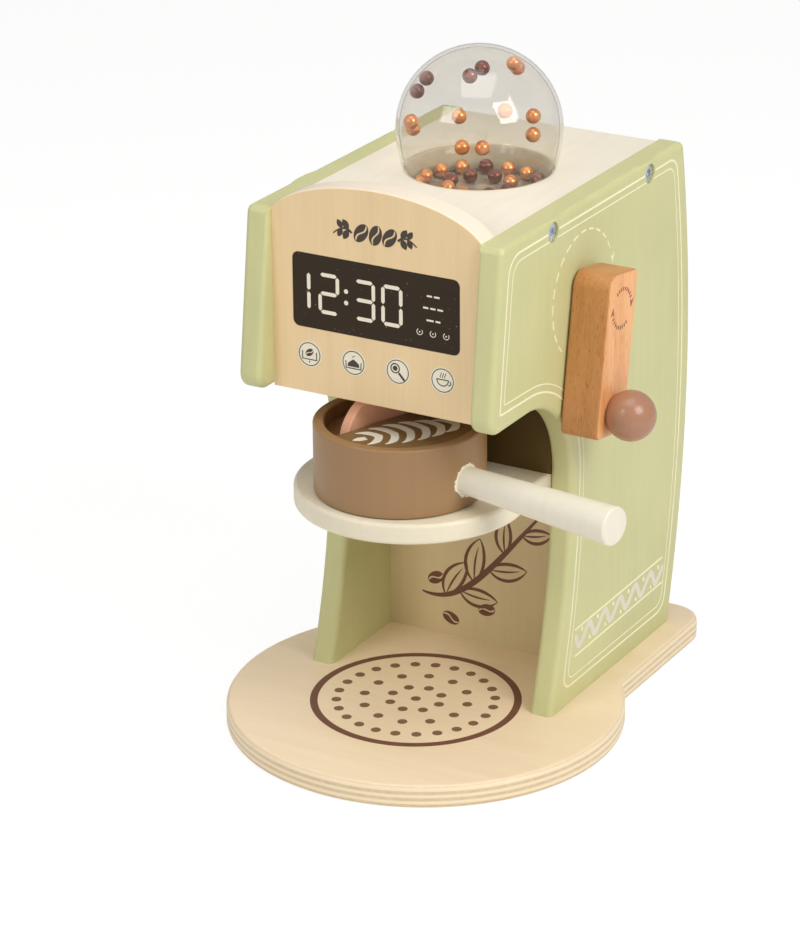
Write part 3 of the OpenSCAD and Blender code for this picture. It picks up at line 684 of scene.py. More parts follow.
def round_face(bm, axis, value, radius_at, segments=4, stays_sharp=nowhere):
    """Rounds a board's outline at one coordinate by radius_at(place). The holes in that face stay crisp."""
    out = Vector((0, 0, 0))
    out[axis] = 1 if value > sum(v.co[axis] for v in bm.verts) / len(bm.verts) else -1
    ways = take_off(bm, axis, value)
    rim = longest_rim(ways)
    meeting = {}
    for edge in rim:
        for vert in edge.verts:
            meeting.setdefault(vert, []).append(edge)
    cuts = {v: (radius_at(v.co), way_inwards(v, edges, ways, stays_sharp)) for v, edges in meeting.items()}
    rows = {}
    for vert, (radius, way) in cuts.items():
        rows[vert] = [vert] * (segments + 1)
        if way is None or radius == 0:
            continue
        home = vert.co.copy()
        for i in range(1, segments + 1):
            turn = math.pi / 2 * i / segments
            place = home - out * radius * (1 - math.sin(turn)) + way * radius * (1 - math.cos(turn))
            rows[vert][i] = bm.verts.new(place)
        vert.co = home - out * radius
    for edge in rim:
        first, second = (rows[vert] for vert in edge.verts)
        for corners in zip(first, first[1:], second[1:], second):
            corners = list(dict.fromkeys(corners))
            if len(corners) > 2:
                bm.faces.new(corners)
    outline = [bm.edges.get([rows[vert][-1] for vert in edge.verts]) for edge in rim]
    holes = set(ways) - set(rim)
    bmesh.ops.triangle_fill(bm, edges=outline + list(holes), use_beauty=True)


def same_everywhere(radius):
    return lambda place: radius


# %% Helper that turns a bmesh into a finished piece
def make_piece(name, bm, body, finish, sharp=35, even_faces=False):
    """Makes an object of a bmesh, shades it smooth up to sharp degrees and lets it ride on a body."""
    bmesh.ops.recalc_face_normals(bm, faces=bm.faces)
    limit = math.radians(sharp)
    for face in bm.faces:
        face.smooth = True
    for edge in bm.edges:
        edge.smooth = len(edge.link_faces) == 2 and edge.calc_face_angle(0.0) < limit
    mesh = bpy.data.meshes.new(name)
    bm.to_mesh(mesh)
    bm.free()
    mesh.materials.append(finish)
    piece = add_object(name, mesh)
    if even_faces:
        evening = piece.modifiers.new("even faces", "WEIGHTED_NORMAL")
        evening.keep_sharp = True
    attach(piece, body)
    return piece


def rounded_part(node_name, bm, body, finish, sharp=35):
    piece = make_piece("rounded_" + node_name, bm, body, finish, sharp, even_faces=True)
    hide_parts(node_name)
    print(piece.name, len(piece.data.vertices), "vertices")
    return piece


# %% [markdown]
# ### Boards of the housing
# The base is rounded above and below. The side panels are rounded all round on the outside. Inside,
# they stay square where another board meets them: along the top, and down on the base.

# %% Base board
base = merged_copy("base_board")
for height in (base_high.z, base_low.z):
    round_face(base, 2, height, same_everywhere(2.5 * mm))
rounded_part("base_board", base, "housing", base_ply)

# %% [markdown]
# The counterbores of the cap screws lie close under the top of the side panels. The router's cut gets
# shallower beside them, so the top edge is parted into short lengths that can follow it.

# %% Side panels
panel_round = 3 * mm
round_by_screw = 1.15 * mm
beside_screw = (4.5 * mm, 11 * mm)
below_top = (0.5 * mm, 4 * mm)
below_top_board = (1.5 * mm, 5 * mm)
rear_panel_y = 130 * mm
top_edge_cuts = 90
cap_low, cap_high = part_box("cap_screws")
cap_r = (cap_high.z - cap_low.z) / 2
cap_z = (cap_high.z + cap_low.z) / 2
cap_places = (cap_low.y + cap_r, cap_high.y - cap_r)


def share_of(value, low, high):
    """How far a value lies between two limits, from 0 to 1."""
    return min(1.0, max(0.0, (value - low) / (high - low)))


def at_foot(place):
    return place.z < panel_low.z + 0.1 * mm


def outer_radius(place):
    away = min(abs(place.y - y) for y in cap_places)
    below = panel_high.z - place.z
    share = max(share_of(away, *beside_screw), share_of(below, *below_top))
    return round_by_screw + (panel_round - round_by_screw) * share


def inner_radius(place):
    """The inner arris stays square where the top board and the rear panel meet it."""
    if place.y > rear_panel_y:
        return 0.0
    return panel_round * share_of(panel_high.z - place.z, *below_top_board)


def round_side_panel(node_name):
    low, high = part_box(node_name)
    outside, inside = (high.x, low.x) if high.x > 0 else (low.x, high.x)
    panel = merged_copy(node_name)
    top_edge = [e for e in panel.edges if in_plane(e, 2, high.z) and in_plane(e, 0, outside)]
    bmesh.ops.subdivide_edges(panel, edges=top_edge, cuts=top_edge_cuts)
    round_face(panel, 0, outside, outer_radius, stays_sharp=at_foot)
    round_face(panel, 0, inside, inner_radius, stays_sharp=at_foot)
    rounded_part(node_name, panel, "housing", green_paint)


round_side_panel("left_side_panel")
round_side_panel("right_side_panel")

# %% Front panel: only its arch is rounded, because its sides and foot stay crisp
def below_arch(place):
    return place.z < panel_high.z + 0.05 * mm


front = merged_copy("front_panel")
for depth in (front_low.y, front_high.y):
    round_face(front, 1, depth, same_everywhere(0.8 * mm), 3, below_arch)
rounded_part("front_panel", front, "housing", front_ply)


# %% Shelf: round where it stands free, square where the boards meet it
def between_boards(place):
    return place.y > waist_y


shelf_low, shelf_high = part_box("shelf")
shelf = merged_copy("shelf")
for height in (shelf_high.z, shelf_low.z):
    round_face(shelf, 2, height, same_everywhere(2 * mm), stays_sharp=between_boards)
rounded_part("shelf", shelf, "housing", shelf_paint)

# %% [markdown]
# ### Turned and shaped wood
# The cup, the token and the handle are turned, so a lathe tool broke their arrises, and the crank arm
# was sanded. They get smaller radii than the boards.

# %% Cup
cup = merged_copy("cup")
cup_rims = [
    edge for edge in sharp_edges(cup)
    if in_plane(edge, 2, cup_high.z) or in_plane(edge, 2, cup_low.z)
]
round_off(cup, cup_rims, 1.0 * mm, 3)
rounded_part("cup", cup, "portafilter", cup_paint)

# %% Handle: only the arris of its free end is rounded
handle = merged_copy("cup_handle")
handle_reach = 100 * mm
free_end = [e for e in sharp_edges(handle) if (middle(e) - cup_axis).length > handle_reach]
round_off(handle, free_end, 1.2 * mm, 3)
rounded_part("cup_handle", handle, "portafilter", handle_paint)

# %% Token
token = merged_copy("token")
round_off(token, sharp_edges(token), 0.8 * mm, 3)
rounded_part("token", token, "token", token_paint)

# %% Crank arm
arm = merged_copy("crank_arm")
for side in (arm_high.x, arm_low.x):
    round_face(arm, 0, side, same_everywhere(1.3 * mm), 3)
rounded_part("crank_arm", arm, "crank", arm_beech_and_painted_shade)

# %% [markdown]
# ## Beads
# The beads are pearls in two tones. The frame holds them as one group of spheres, so the group is
# split: each connected sphere goes to the dark or to the copper piece, by its own turn in the row.

# %% Pearls
bead_r = 3.75 * mm
bead_draw = 4651
dark_share = 0.35


def split_beads():
    """Two pieces for the group of beads, told apart by a fixed random draw."""
    source = welded_copy("beads")
    centres = []
    waiting = set(source.verts)
    while waiting:
        start = waiting.pop()
        ball, grow = [start], [start]
        while grow:
            near = {e.other_vert(v) for v in [grow.pop()] for e in v.link_edges} & waiting
            waiting -= near
            ball.extend(near)
            grow.extend(near)
        centres.append(sum((v.co for v in ball), Vector()) / len(ball))
    source.free()
    centres.sort(key=lambda c: (round(c.z, 4), round(c.x, 4), round(c.y, 4)))
    draw = random.Random(bead_draw)
    tones = {"dark": bmesh.new(), "copper": bmesh.new()}
    for centre in centres:
        tone = "dark" if draw.random() < dark_share else "copper"
        bmesh.ops.create_uvsphere(
            tones[tone], u_segments=24, v_segments=16, radius=bead_r, matrix=Matrix.Translation(centre)
        )
    return tones, len(centres)


bead_tones, bead_count = split_beads()
for tone, finish in (("dark", dark_pearl), ("copper", copper_pearl)):
    pearls = make_piece(tone + "_pearls", bead_tones[tone], "housing", finish, sharp=80)
    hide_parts("beads")
print("beads:", bead_count)


# %% [markdown]
# ## Printing
# The ornament is screen printed: flat ink with crisp outlines. Each print is drawn flat, in
# millimetres from its own centre, and then given the thickness of a thick ink film and laid on its
# face. Real thickness matters, because a sheet without it flickers against the board. A print on a
# print starts inside the lower film and is thinner.

# %% Drawing flat shapes
ink_sink = 0.03 * mm
ink_film = 0.12 * mm
over_lift = 0.11 * mm
over_film = 0.06 * mm


def corner_round(before, corner, after, radius, steps=8):
    """Points of a round corner of an outline."""
    before, corner, after = Vector(before), Vector(corner), Vector(after)
    u = (before - corner).normalized()
    v = (after - corner).normalized()
    half = u.angle(v) / 2
    start = corner + u * radius / math.tan(half)
    end = corner + v * radius / math.tan(half)
    centre = corner + (u + v).normalized() * radius / math.sin(half)
    points = []
    for i in range(steps + 1):
        point = start.lerp(end, i / steps) - centre
        points.append(centre + point.normalized() * radius)
    return points


def arc_points(centre, radius, start, end, steps):
    """Points on an arc. Angles are in degrees from the first axis towards the second."""
    turns = [math.radians(start + (end - start) * i / steps) for i in range(steps + 1)]
    return [Vector((centre[0] + radius * math.cos(a), centre[1] + radius * math.sin(a))) for a in turns]


def bezier_points(start, pull_start, pull_end, end, steps=16):
    points = []
    for i in range(steps + 1):
        t = i / steps
        weights = ((1 - t) ** 3, 3 * t * (1 - t) ** 2, 3 * t * t * (1 - t), t ** 3)
        knots = (start, pull_start, pull_end, end)
        points.append(sum((Vector(k) * w for k, w in zip(knots, weights)), Vector((0, 0))))
    return points


def add_polygon(bm, points):
    bm.faces.new([bm.verts.new((p[0], p[1], 0)) for p in points])


def add_disc(bm, centre, radius, segments=32, squeeze=1.0, turn=0.0):
    """A filled circle, or an ellipse where squeeze is below 1."""
    place = Matrix.Translation((centre[0], centre[1], 0)) @ Matrix.Rotation(math.radians(turn), 4, "Z")
    place = place @ Matrix.Diagonal((1, squeeze, 1, 1))
    bmesh.ops.create_circle(bm, cap_ends=True, radius=radius, segments=segments, matrix=place)


def add_stroke(bm, points, width, taper=None, closed=False, round_ends=False):
    """A flat stroke along points. taper gives the share of the width at each point."""
    count = len(points)
    points = [Vector(p) for p in points]
    rows = []
    for i, point in enumerate(points):
        ahead = points[(i + 1) % count] if closed or i + 1 < count else 2 * point - points[i - 1]
        behind = points[i - 1] if closed or i > 0 else 2 * point - ahead
        leaving = (ahead - point).normalized()
        along = ((point - behind).normalized() + leaving).normalized()
        share = taper(i / (count - 1)) if taper else 1.0
        side = Vector((-along.y, along.x)) * width / 2 * share / max(0.5, along.dot(leaving))
        rows.append([bm.verts.new((*(point + side), 0)), bm.verts.new((*(point - side), 0))])
    pairs = list(zip(rows, rows[1:])) + ([(rows[-1], rows[0])] if closed else [])
    for (a, b), (c, d) in pairs:
        bm.faces.new((a, b, d, c))
    if round_ends:
        add_round_end(bm, rows[0], points[0] - points[1])
        add_round_end(bm, rows[-1], points[-1] - points[-2])


def add_round_end(bm, row, outward, steps=8):
    """Half a disc on the last two points of a stroke."""
    centre = (row[0].co + row[1].co) / 2
    spoke = row[0].co - centre
    tip = outward.normalized().to_3d() * spoke.length
    turns = [math.pi * i / steps for i in range(1, steps)]
    arc = [bm.verts.new(centre + spoke * math.cos(a) + tip * math.sin(a)) for a in turns]
    bm.faces.new([row[0]] + arc + [row[1]])


def sink_layer(bm, depth=0.012 * mm):
    """Sinks what is drawn so far, so that the next shapes can cross it in a plane of their own."""
    bmesh.ops.translate(bm, vec=(0, 0, -depth), verts=bm.verts)


def add_ring(bm, centre, radius, width, segments=48):
    points = arc_points(centre, radius, 0, 360 - 360 / segments, segments - 1)
    add_stroke(bm, points, width, closed=True)


def add_dash(bm, start, end, width):
    add_stroke(bm, [start, end], width)


# %% Laying a print on a face
def face_frame(origin, right, up, out):
    """A matrix that lays a flat drawing on a face: its X goes right, its Y up and its Z out."""
    columns = [Vector(right), Vector(up), Vector(out), Vector(origin)]
    return Matrix([[column[i] for column in columns] for i in range(3)] + [[0, 0, 0, 1]])


def lay_print(name, bm, place, body, ink, film=ink_film):
    """Scales a drawing from millimetres, gives it a film's thickness and lays it on its face."""
    bmesh.ops.scale(bm, vec=(mm, mm, 1), verts=bm.verts)
    raised = bmesh.ops.extrude_face_region(bm, geom=list(bm.faces), use_keep_orig=True)
    upper = [v for v in raised["geom"] if isinstance(v, bmesh.types.BMVert)]
    bmesh.ops.translate(bm, vec=(0, 0, film + ink_sink), verts=upper)
    bmesh.ops.translate(bm, vec=(0, 0, -ink_sink), verts=bm.verts)
    bmesh.ops.transform(bm, matrix=place, verts=bm.verts)
    return make_piece(name, bm, body, ink, sharp=20)


X, Y, Z = Vector((1, 0, 0)), Vector((0, 1, 0)), Vector((0, 0, 1))
on_base = face_frame((0, 0, deck), X, Y, Z)
on_front = face_frame((0, front_low.y, deck), X, Z, -Y)
over_front = face_frame((0, front_low.y - over_lift, deck), X, Z, -Y)
on_picture = face_frame((0, picture_face, deck), X, Z, -Y)
on_right = face_frame((panel_high.x, 0, deck), Y, Z, X)
on_left = face_frame((-panel_high.x, 0, deck), Y, Z, -X)

# %% [markdown]
# ### Drip ring on the base
# A ring and three circles of dots stand for the holes of a drip tray.

# %% Drip ring
ring_r, ring_width, dot_r, dot_pitch = 51.1, 3.8, 2.5, 13.25
drip_ring = bmesh.new()
add_ring(drip_ring, (0, 0), ring_r, ring_width, 128)
lay_print("drip_ring", drip_ring, on_base, "housing", brown_ink)

drip_dots = bmesh.new()
add_disc(drip_dots, (0, 0), dot_r)
for circle, count, first in ((1, 8, 0), (2, 12, 15), (3, 24, 0)):
    for point in arc_points((0, 0), circle * dot_pitch, first, first + 360 * (count - 1) / count, count - 1):
        add_disc(drip_dots, point, dot_r)
lay_print("drip_dots", drip_dots, on_base, "housing", dot_ink)


# %% [markdown]
# ### Border of the side panels
# A double line follows the outline of each side panel, the inner line thinner. It runs parallel to
# the edges, so its arcs share the centres of the arch, the column and the swelling back. Both lines
# stop at the cap screws.

# %% Border path
back_low_y = 146.0
back_top_y = 151.5
back_swell = 14.5
panel_tall = (panel_high.z - deck) / mm
half_chord = math.hypot(back_top_y - back_low_y, panel_tall) / 2
back_r = (half_chord ** 2 + back_swell ** 2) / (2 * back_swell)
back_centre_y = (back_low_y + back_top_y) / 2 + back_swell - back_r
arch_y, arch_z = arch_centre / mm
column_edge_r = column_r / mm
column_centre_y = waist_y / mm - column_edge_r
front_margin, back_margin, top_margin, foot_margin, under_margin = 8.0, 9.8, 5.9, 9.6, 9.6
screw_height = (cap_z - deck) / mm
front_screw, rear_screw = (y / mm for y in cap_places)
screw_clear = cap_r / mm + 0.7


def border_path(inner):
    """One border line, inner millimetres inside the outer one, and its length between the two screws."""
    def back_y(z):
        lean = (back_top_y - back_low_y) * (z / panel_tall - 0.5)
        line_r = back_r - back_margin - inner
        return back_centre_y + math.sqrt(line_r ** 2 - (z - panel_tall / 2) ** 2) + lean

    def column_y(z):
        line_r = column_edge_r + front_margin + inner
        return column_centre_y + math.sqrt(line_r ** 2 - (z - arch_z) ** 2)

    top = panel_tall - top_margin - inner
    foot = foot_margin + inner
    under = head_under / mm + under_margin + inner
    low_front = (-41.2 + inner, under)
    top_front = (-32.2 + inner, top)
    top_back = (back_y(top), top)
    low_back = (back_y(foot), foot)
    low_column = (column_y(foot) + 1, foot)
    back_line = [Vector((back_y(z), z)) for z in range(238, 22, -12)]
    column_line = [Vector((column_y(z), z)) for z in range(26, 120, 8)]
    arch_line = arc_points((arch_y, arch_z + 0.8), arch_r / mm + front_margin + inner, 0, 88, 20)
    gap = math.sqrt(screw_clear ** 2 - (top - screw_height) ** 2)
    between = [(front_screw + gap, top), (rear_screw - gap, top)]
    path = [Vector((rear_screw + gap, top))]
    path += corner_round(top_front, top_back, back_line[0], 9 - inner / 2, 10)
    path += back_line
    path += corner_round(back_line[-1], low_back, low_column, 9 - inner / 2, 10)
    path += corner_round(low_back, low_column, column_line[0], 6 - inner / 2, 8)
    path += column_line + arch_line
    path += corner_round(arch_line[-1], low_front, top_front, 1.2)
    path += corner_round(low_front, top_front, top_back, 11 - inner / 2, 10)
    path.append(Vector((front_screw - gap, top)))
    return path, between


# %% Border, wave band and their dots, on both side panels
def wave_point(t):
    """A point of the wave band: t counts its turns. Each crest leans a little to the back."""
    angle = 2 * math.pi * t
    lean = 1.1 * (1 - math.cos(angle))
    return Vector((43.1 + 17.2 * t + lean, 31.7 - 3.9 * math.cos(angle)))


border_lines = ((0, 1.0), (3.9, 0.6))
band_edges = (((38.2, 37.9), (136.6, 39.5), 1.1), ((38.5, 23.4), (136.6, 25.3), 1.0))


def draw_border():
    """The double line, the two edges of the wave band and the dots between its crests."""
    bm = bmesh.new()
    for inner, width in border_lines:
        path, between = border_path(inner)
        add_stroke(bm, path, width)
        add_dash(bm, *between, width)
    for edge in band_edges:
        add_dash(bm, *edge)
    for turn in range(6):
        add_disc(bm, wave_point(turn) + Vector((2.9, 7.7)), 0.9, 12, 1.6, 20)
    for turn in range(5):
        add_disc(bm, wave_point(turn + 0.5) + Vector((0.6, -8.0)), 0.8, 12, 1.6, 20)
    return bm


def draw_wave():
    bm = bmesh.new()
    steps = 120
    points = [wave_point(-0.33 + 5.66 * i / steps) for i in range(steps + 1)]
    add_stroke(bm, points, 3.4, round_ends=True)
    return bm


for side, place in (("right", on_right), ("left", on_left)):
    lay_print(side + "_border", draw_border(), place, "housing", cream_ink)
    lay_print(side + "_wave", draw_wave(), place, "housing", wave_ink)

# %% [markdown]
# ### Turning arrows
# A dashed arc on the panel and two hatched arrows on the arm show which way the crank turns. All of
# them are centred on the crank's pivot, and those on the arm ride with it.

# %% Dashed arc round the crank
def add_arrow_head(bm, tip, direction, length, width):
    along = Vector(direction).normalized()
    side = Vector((-along.y, along.x)) * width / 2
    back = Vector(tip) - along * length
    notch = Vector(tip) - along * length * 0.7
    add_polygon(bm, [Vector(tip), back + side, notch, back - side])


dash_count = 14
dash_r = 31.4
dash_centre = Vector((crank_pivot.y / mm + 0.3, (crank_pivot.z - deck) / mm + 3.8))
dashes = bmesh.new()
first_turn, last_turn = 226, 22
pitch = (last_turn - first_turn) / dash_count
for i in range(dash_count):
    start = first_turn + pitch * i
    add_stroke(dashes, arc_points(dash_centre, dash_r, start, start + pitch * 0.6, 4), 0.9)
head_turn = math.radians(12)
head_tip = dash_centre + dash_r * Vector((math.cos(head_turn), math.sin(head_turn)))
add_arrow_head(dashes, head_tip, (0.1, -1), 4.5, 4.2)
lay_print("crank_direction", dashes, on_right, "housing", cream_ink)

# %% Arrows on the crank arm
arm_arrows = bmesh.new()
arrow_r = 9.5
for start in (118, -64):
    for i in range(9):
        turn = start - 12.5 * i
        add_stroke(arm_arrows, arc_points((0, 0), arrow_r, turn, turn + 5, 1), 1.8)
    head = math.radians(start - 132)
    tip = arrow_r * Vector((math.cos(head), math.sin(head)))
    add_arrow_head(arm_arrows, tip, (math.sin(head), -math.cos(head)), 4.2, 3.4)
on_arm = face_frame((arm_high.x, crank_pivot.y, crank_pivot.z), Y, Z, X)
lay_print("arm_arrows", arm_arrows, on_arm, "crank", mauve_ink)

# %% [markdown]
# ### Clock display
# The display is a dark plate with a seven-segment time. Each segment is a bar with pointed ends, and
# a table says which of the seven a digit lights. Three broken bars stand where a real machine would
# list its strengths, and three small dials sit below them.

# %% Display plate
display_left, display_right, display_foot, display_top = -45.3, 45.3, 203.0, 240.3
display_corner = 3.4


def rounded_plate(bm, left, right, foot, top, radius):
    corners = [(left, foot), (right, foot), (right, top), (left, top)]
    points = []
    for i, corner in enumerate(corners):
        points += corner_round(corners[i - 1], corner, corners[(i + 1) % 4], radius)
    add_polygon(bm, points)


plate = bmesh.new()
rounded_plate(plate, display_left, display_right, display_foot, display_top, display_corner)
lay_print("display_plate", plate, on_front, "housing", display_ink)

# %% Digits
digit_foot, digit_tall, digit_wide, bar_wide, bar_gap = 212.3, 18.6, 9.6, 1.9, 0.35
SEGMENTS = {"1": "bc", "2": "abged", "3": "abgcd", "0": "abcdef"}


def add_bar(bm, start, end):
    """A segment: a bar whose two ends come to a point."""
    start, end = Vector(start), Vector(end)
    along = (end - start).normalized()
    side = Vector((-along.y, along.x)) * bar_wide / 2
    start += along * bar_gap
    end -= along * bar_gap
    shoulder = along * bar_wide / 2
    upper = [start, start + shoulder + side, end - shoulder + side]
    lower = [end, end - shoulder - side, start + shoulder - side]
    add_polygon(bm, upper + lower)


def add_digit(bm, digit, left):
    right, foot = left + digit_wide, digit_foot
    middle_z, top = digit_foot + digit_tall / 2, digit_foot + digit_tall
    bars = {
        "a": ((left, top), (right, top)), "b": ((right, top), (right, middle_z)),
        "c": ((right, middle_z), (right, foot)), "d": ((left, foot), (right, foot)),
        "e": ((left, middle_z), (left, foot)), "f": ((left, top), (left, middle_z)),
        "g": ((left, middle_z), (right, middle_z)),
    }
    for segment in SEGMENTS[digit]:
        add_bar(bm, *bars[segment])


time_digits = bmesh.new()
for digit, left in (("1", -46.0), ("2", -30.2), ("3", -10.6), ("0", 4.2)):
    add_digit(time_digits, digit, left)
for z in (218.9, 224.6):
    add_disc(time_digits, (-15.9, z), 1.15, 20)
lay_print("time_digits", time_digits, over_front, "housing", digit_ink, over_film)

# %% Strength bars and small dials
mark_width = 0.9
mark_middle = 31.2
dial_z = 211.6
dial_print = bmesh.new()
strength_bars = {
    230.0: ((-3.4, -0.6), (0.4, 3.4)),
    224.0: ((-5.4, -2.6), (-1.6, 1.2), (2.2, 5.2)),
    218.0: ((-3.6, 0.2), (1.2, 3.8)),
}
for z, spans in strength_bars.items():
    for left, right in spans:
        add_dash(dial_print, (mark_middle + left, z), (mark_middle + right, z), mark_width)
for x in (23.9, 31.0, 38.1):
    add_stroke(dial_print, arc_points((x, dial_z), 1.5, 120, 400, 20), 0.35)
    add_disc(dial_print, (x, dial_z), 0.4, 10)
lay_print("strength_marks", dial_print, over_front, "housing", digit_ink, over_film)

# %% [markdown]
# ### Four round buttons
# Each printed button is a pale disc with a thin dark ring and a plain picture: a bean over a tray,
# ground coffee, a filter holder and a steaming cup.

# %% Buttons
button_z = 189.4
button_x = (-36.6, -12.3, 11.9, 36.1)
button_r = 6.6
button_ring_r = 5.75
button_discs = bmesh.new()
for x in button_x:
    add_disc(button_discs, (x, button_z), button_r, 48)
lay_print("button_discs", button_discs, on_front, "housing", digit_ink)


def bean_shape(bm, centre, length, turn, slit=0.5):
    """A coffee bean: two halves of an ellipse, parted by a curved slit."""
    spin = Matrix.Rotation(math.radians(turn), 2)
    half, wide = length / 2, length * 0.33
    turns = [math.pi * i / 14 for i in range(15)]
    for side in (1, -1):
        outer = [Vector((half * math.cos(a), side * wide * math.sin(a))) for a in turns]
        seam = []
        for i in range(1, 14):
            x = -half + length * i / 14
            seam.append(Vector((x, wide * 0.3 * math.sin(2 * math.pi * i / 14) + side * slit / 2)))
        points = [Vector(centre) + spin @ p for p in outer + seam]
        add_polygon(bm, points)


def draw_bean_button(bm, x, z):
    bean_shape(bm, (x, z + 0.9), 5.0, 40)
    add_stroke(bm, [(x - 3.9, z + 1.4), (x - 3.9, z - 2.6), (x + 3.9, z - 2.6), (x + 3.9, z + 1.4)], 0.5)
    add_dash(bm, (x, z - 3.3), (x, z - 4.3), 0.5)


def draw_grounds_button(bm, x, z):
    half_mound = [(3.2, -2.1), (3.0, -0.4), (0.4, 1.6)]
    mound = half_mound + [(-across, up) for across, up in reversed(half_mound)]
    add_polygon(bm, [(x + across, z + up) for across, up in mound])
    add_stroke(bm, [(x - 4.2, z + 0.6), (x - 4.0, z - 2.9), (x + 4.0, z - 2.9), (x + 4.2, z + 0.6)], 0.5)
    add_dash(bm, (x - 0.7, z + 2.7), (x + 0.7, z + 3.5), 0.4)


def draw_filter_button(bm, x, z):
    add_ring(bm, (x - 1.4, z + 1.5), 2.3, 0.6, 24)
    add_disc(bm, (x - 1.4, z + 1.5), 1.3, 20)
    add_dash(bm, (x + 0.5, z - 0.6), (x + 3.6, z - 4.0), 1.2)


def draw_cup_button(bm, x, z):
    add_stroke(bm, arc_points((x, z + 0.4), 3.1, 180, 360, 16), 0.5, closed=True)
    add_stroke(bm, arc_points((x + 3.3, z - 0.9), 1.1, 60, -105, 10), 0.5)
    for shift in (-1.1, 0.1, 1.3):
        knots = ((0, 1.3), (-0.9, 2.2), (1.0, 2.8), (0.2, 3.8))
        steam = bezier_points(*[(x + shift + across, z + up) for across, up in knots], 8)
        add_stroke(bm, steam, 0.35)


button_art = bmesh.new()
for x, draw in zip(button_x, (draw_bean_button, draw_grounds_button, draw_filter_button, draw_cup_button)):
    add_ring(button_art, (x, button_z), button_ring_r, 0.45, 48)
    draw(button_art, x, button_z)
lay_print("button_pictures", button_art, over_front, "housing", dark_ink, over_film)

# %% [markdown]
# ### Ornament above the display
# A row of beans between two sprigs decorates the arch. It is a plain ornament, about as wide and as
# dark as a word would be.

# %% Bean ornament
def leaf_shape(bm, root, turn, length, belly=0.3):
    """A pointed leaf: two arcs that meet at its tip."""
    spin = Matrix.Rotation(math.radians(turn), 2) * length
    upper = bezier_points((0, 0), (0.3, belly), (0.7, belly), (1, 0), 8)
    lower = bezier_points((1, 0), (0.7, -belly), (0.3, -belly), (0, 0), 8)
    add_polygon(bm, [Vector(root) + spin @ p for p in upper[:-1] + lower[:-1]])


ornament = bmesh.new()
ornament_z = 254.9
sprig_stems = []
for side in (-1, 1):
    knots = ((12.5, -0.8), (15, 2.2), (18.5, 1.4), (22.5, -2.2))
    stem = bezier_points(*[(side * across, ornament_z + up) for across, up in knots], 14)
    add_stroke(ornament, stem, 1.2, lambda t: 1 - 0.5 * t)
    sprig_stems.append((side, stem))
sink_layer(ornament)
for side, stem in sprig_stems:
    outward = 0 if side > 0 else 180
    for step, reach in ((3, 5.6), (8, 4.8)):
        leaf_shape(ornament, stem[step], outward + side * 58, reach, 0.4)
        leaf_shape(ornament, stem[step], outward - side * 62, reach, 0.4)
for x, turn in ((-7.4, 56), (0.4, 74), (8.0, 56)):
    bean_shape(ornament, (x, ornament_z), 10.2, turn, 0.9)
lay_print("bean_ornament", ornament, on_front, "housing", dark_ink)

# %% [markdown]
# ### Picture behind the cup bay
# A branch with leaves and beans, drawn with brush strokes that swell and taper, fills the panel.

# %% Branch picture
def swelling(t):
    return 0.25 + 0.75 * math.sin(math.pi * min(t * 1.05, 1.0)) ** 0.7


def leaf_line(root, ahead, bend, reach, knots):
    """A stroke of a leaf. Each knot is noted ahead of the root and to the side, in parts of the reach."""
    places = [root + ahead * reach * far + bend * reach * aside for far, aside in knots]
    return bezier_points(*places, 14)


LEAF_KNOTS = {
    "upper": ((0, 0), (0.25, 0.34), (0.75, 0.24), (1, -0.12)),
    "lower": ((0, 0), (0.3, -0.3), (0.8, -0.26), (1, -0.12)),
    "rib": ((0.06, 0), (0.3, 0), (0.5, 0), (0.8, -0.09)),
}
branch = bmesh.new()
branch_line = bezier_points((-38, 22), (-14, 16), (4, 46), (36, 84), 40)
branch_leaves = ((8, 1, 24), (13, -1, 22), (18, 1, 25), (23, -1, 22), (28, 1, 20), (33, -1, 17))
add_stroke(branch, branch_line, 3.2, swelling)
for stroke, width in (("upper", 1.8), ("lower", 1.8), ("rib", 1.1)):
    sink_layer(branch)
    for step, side, reach in branch_leaves:
        root = branch_line[step]
        along = (branch_line[step + 1] - root).normalized()
        turn = math.atan2(along.y, along.x) + side * math.radians(46)
        ahead = Vector((math.cos(turn), math.sin(turn)))
        bend = Vector((-ahead.y, ahead.x)) * side
        add_stroke(branch, leaf_line(root, ahead, bend, reach, LEAF_KNOTS[stroke]), width, swelling)
for x, z, turn in ((-30, 31, 30), (-21, 10, -20), (0, 19, 15)):
    bean_shape(branch, (x, z), 10, turn, 1.0)
lay_print("branch_picture", branch, on_picture, "housing", brown_ink)

# %% [markdown]
# ### Milk leaf in the cup
# Poured milk makes a leaf: curved chevrons in a row that grow towards its middle and end in a point.
# The drawing is laid on the filling, across the line of the token's slot.

# %% Milk leaf
leaf_turn = math.radians(-37)
filling_place = Vector((cup_axis.x, cup_axis.y, filling_top))
leaf_right = Vector((math.cos(leaf_turn), math.sin(leaf_turn), 0))
leaf_up = Vector((-math.sin(leaf_turn), math.cos(leaf_turn), 0))
on_filling = face_frame(filling_place, leaf_right, leaf_up, Z)
leaf_x = 15.5
blade = 3.9
first_blade, blade_pitch = -19.0, 8.0


def blade_width(t):
    """A chevron is pointed at both ends and full between them."""
    return min(1.0, 0.12 + 4.5 * min(t, 1 - t))


def root_width(t):
    """The root starts in a point and gets full towards the first chevron."""
    return 0.1 + 1.6 * t * (1.4 - t)


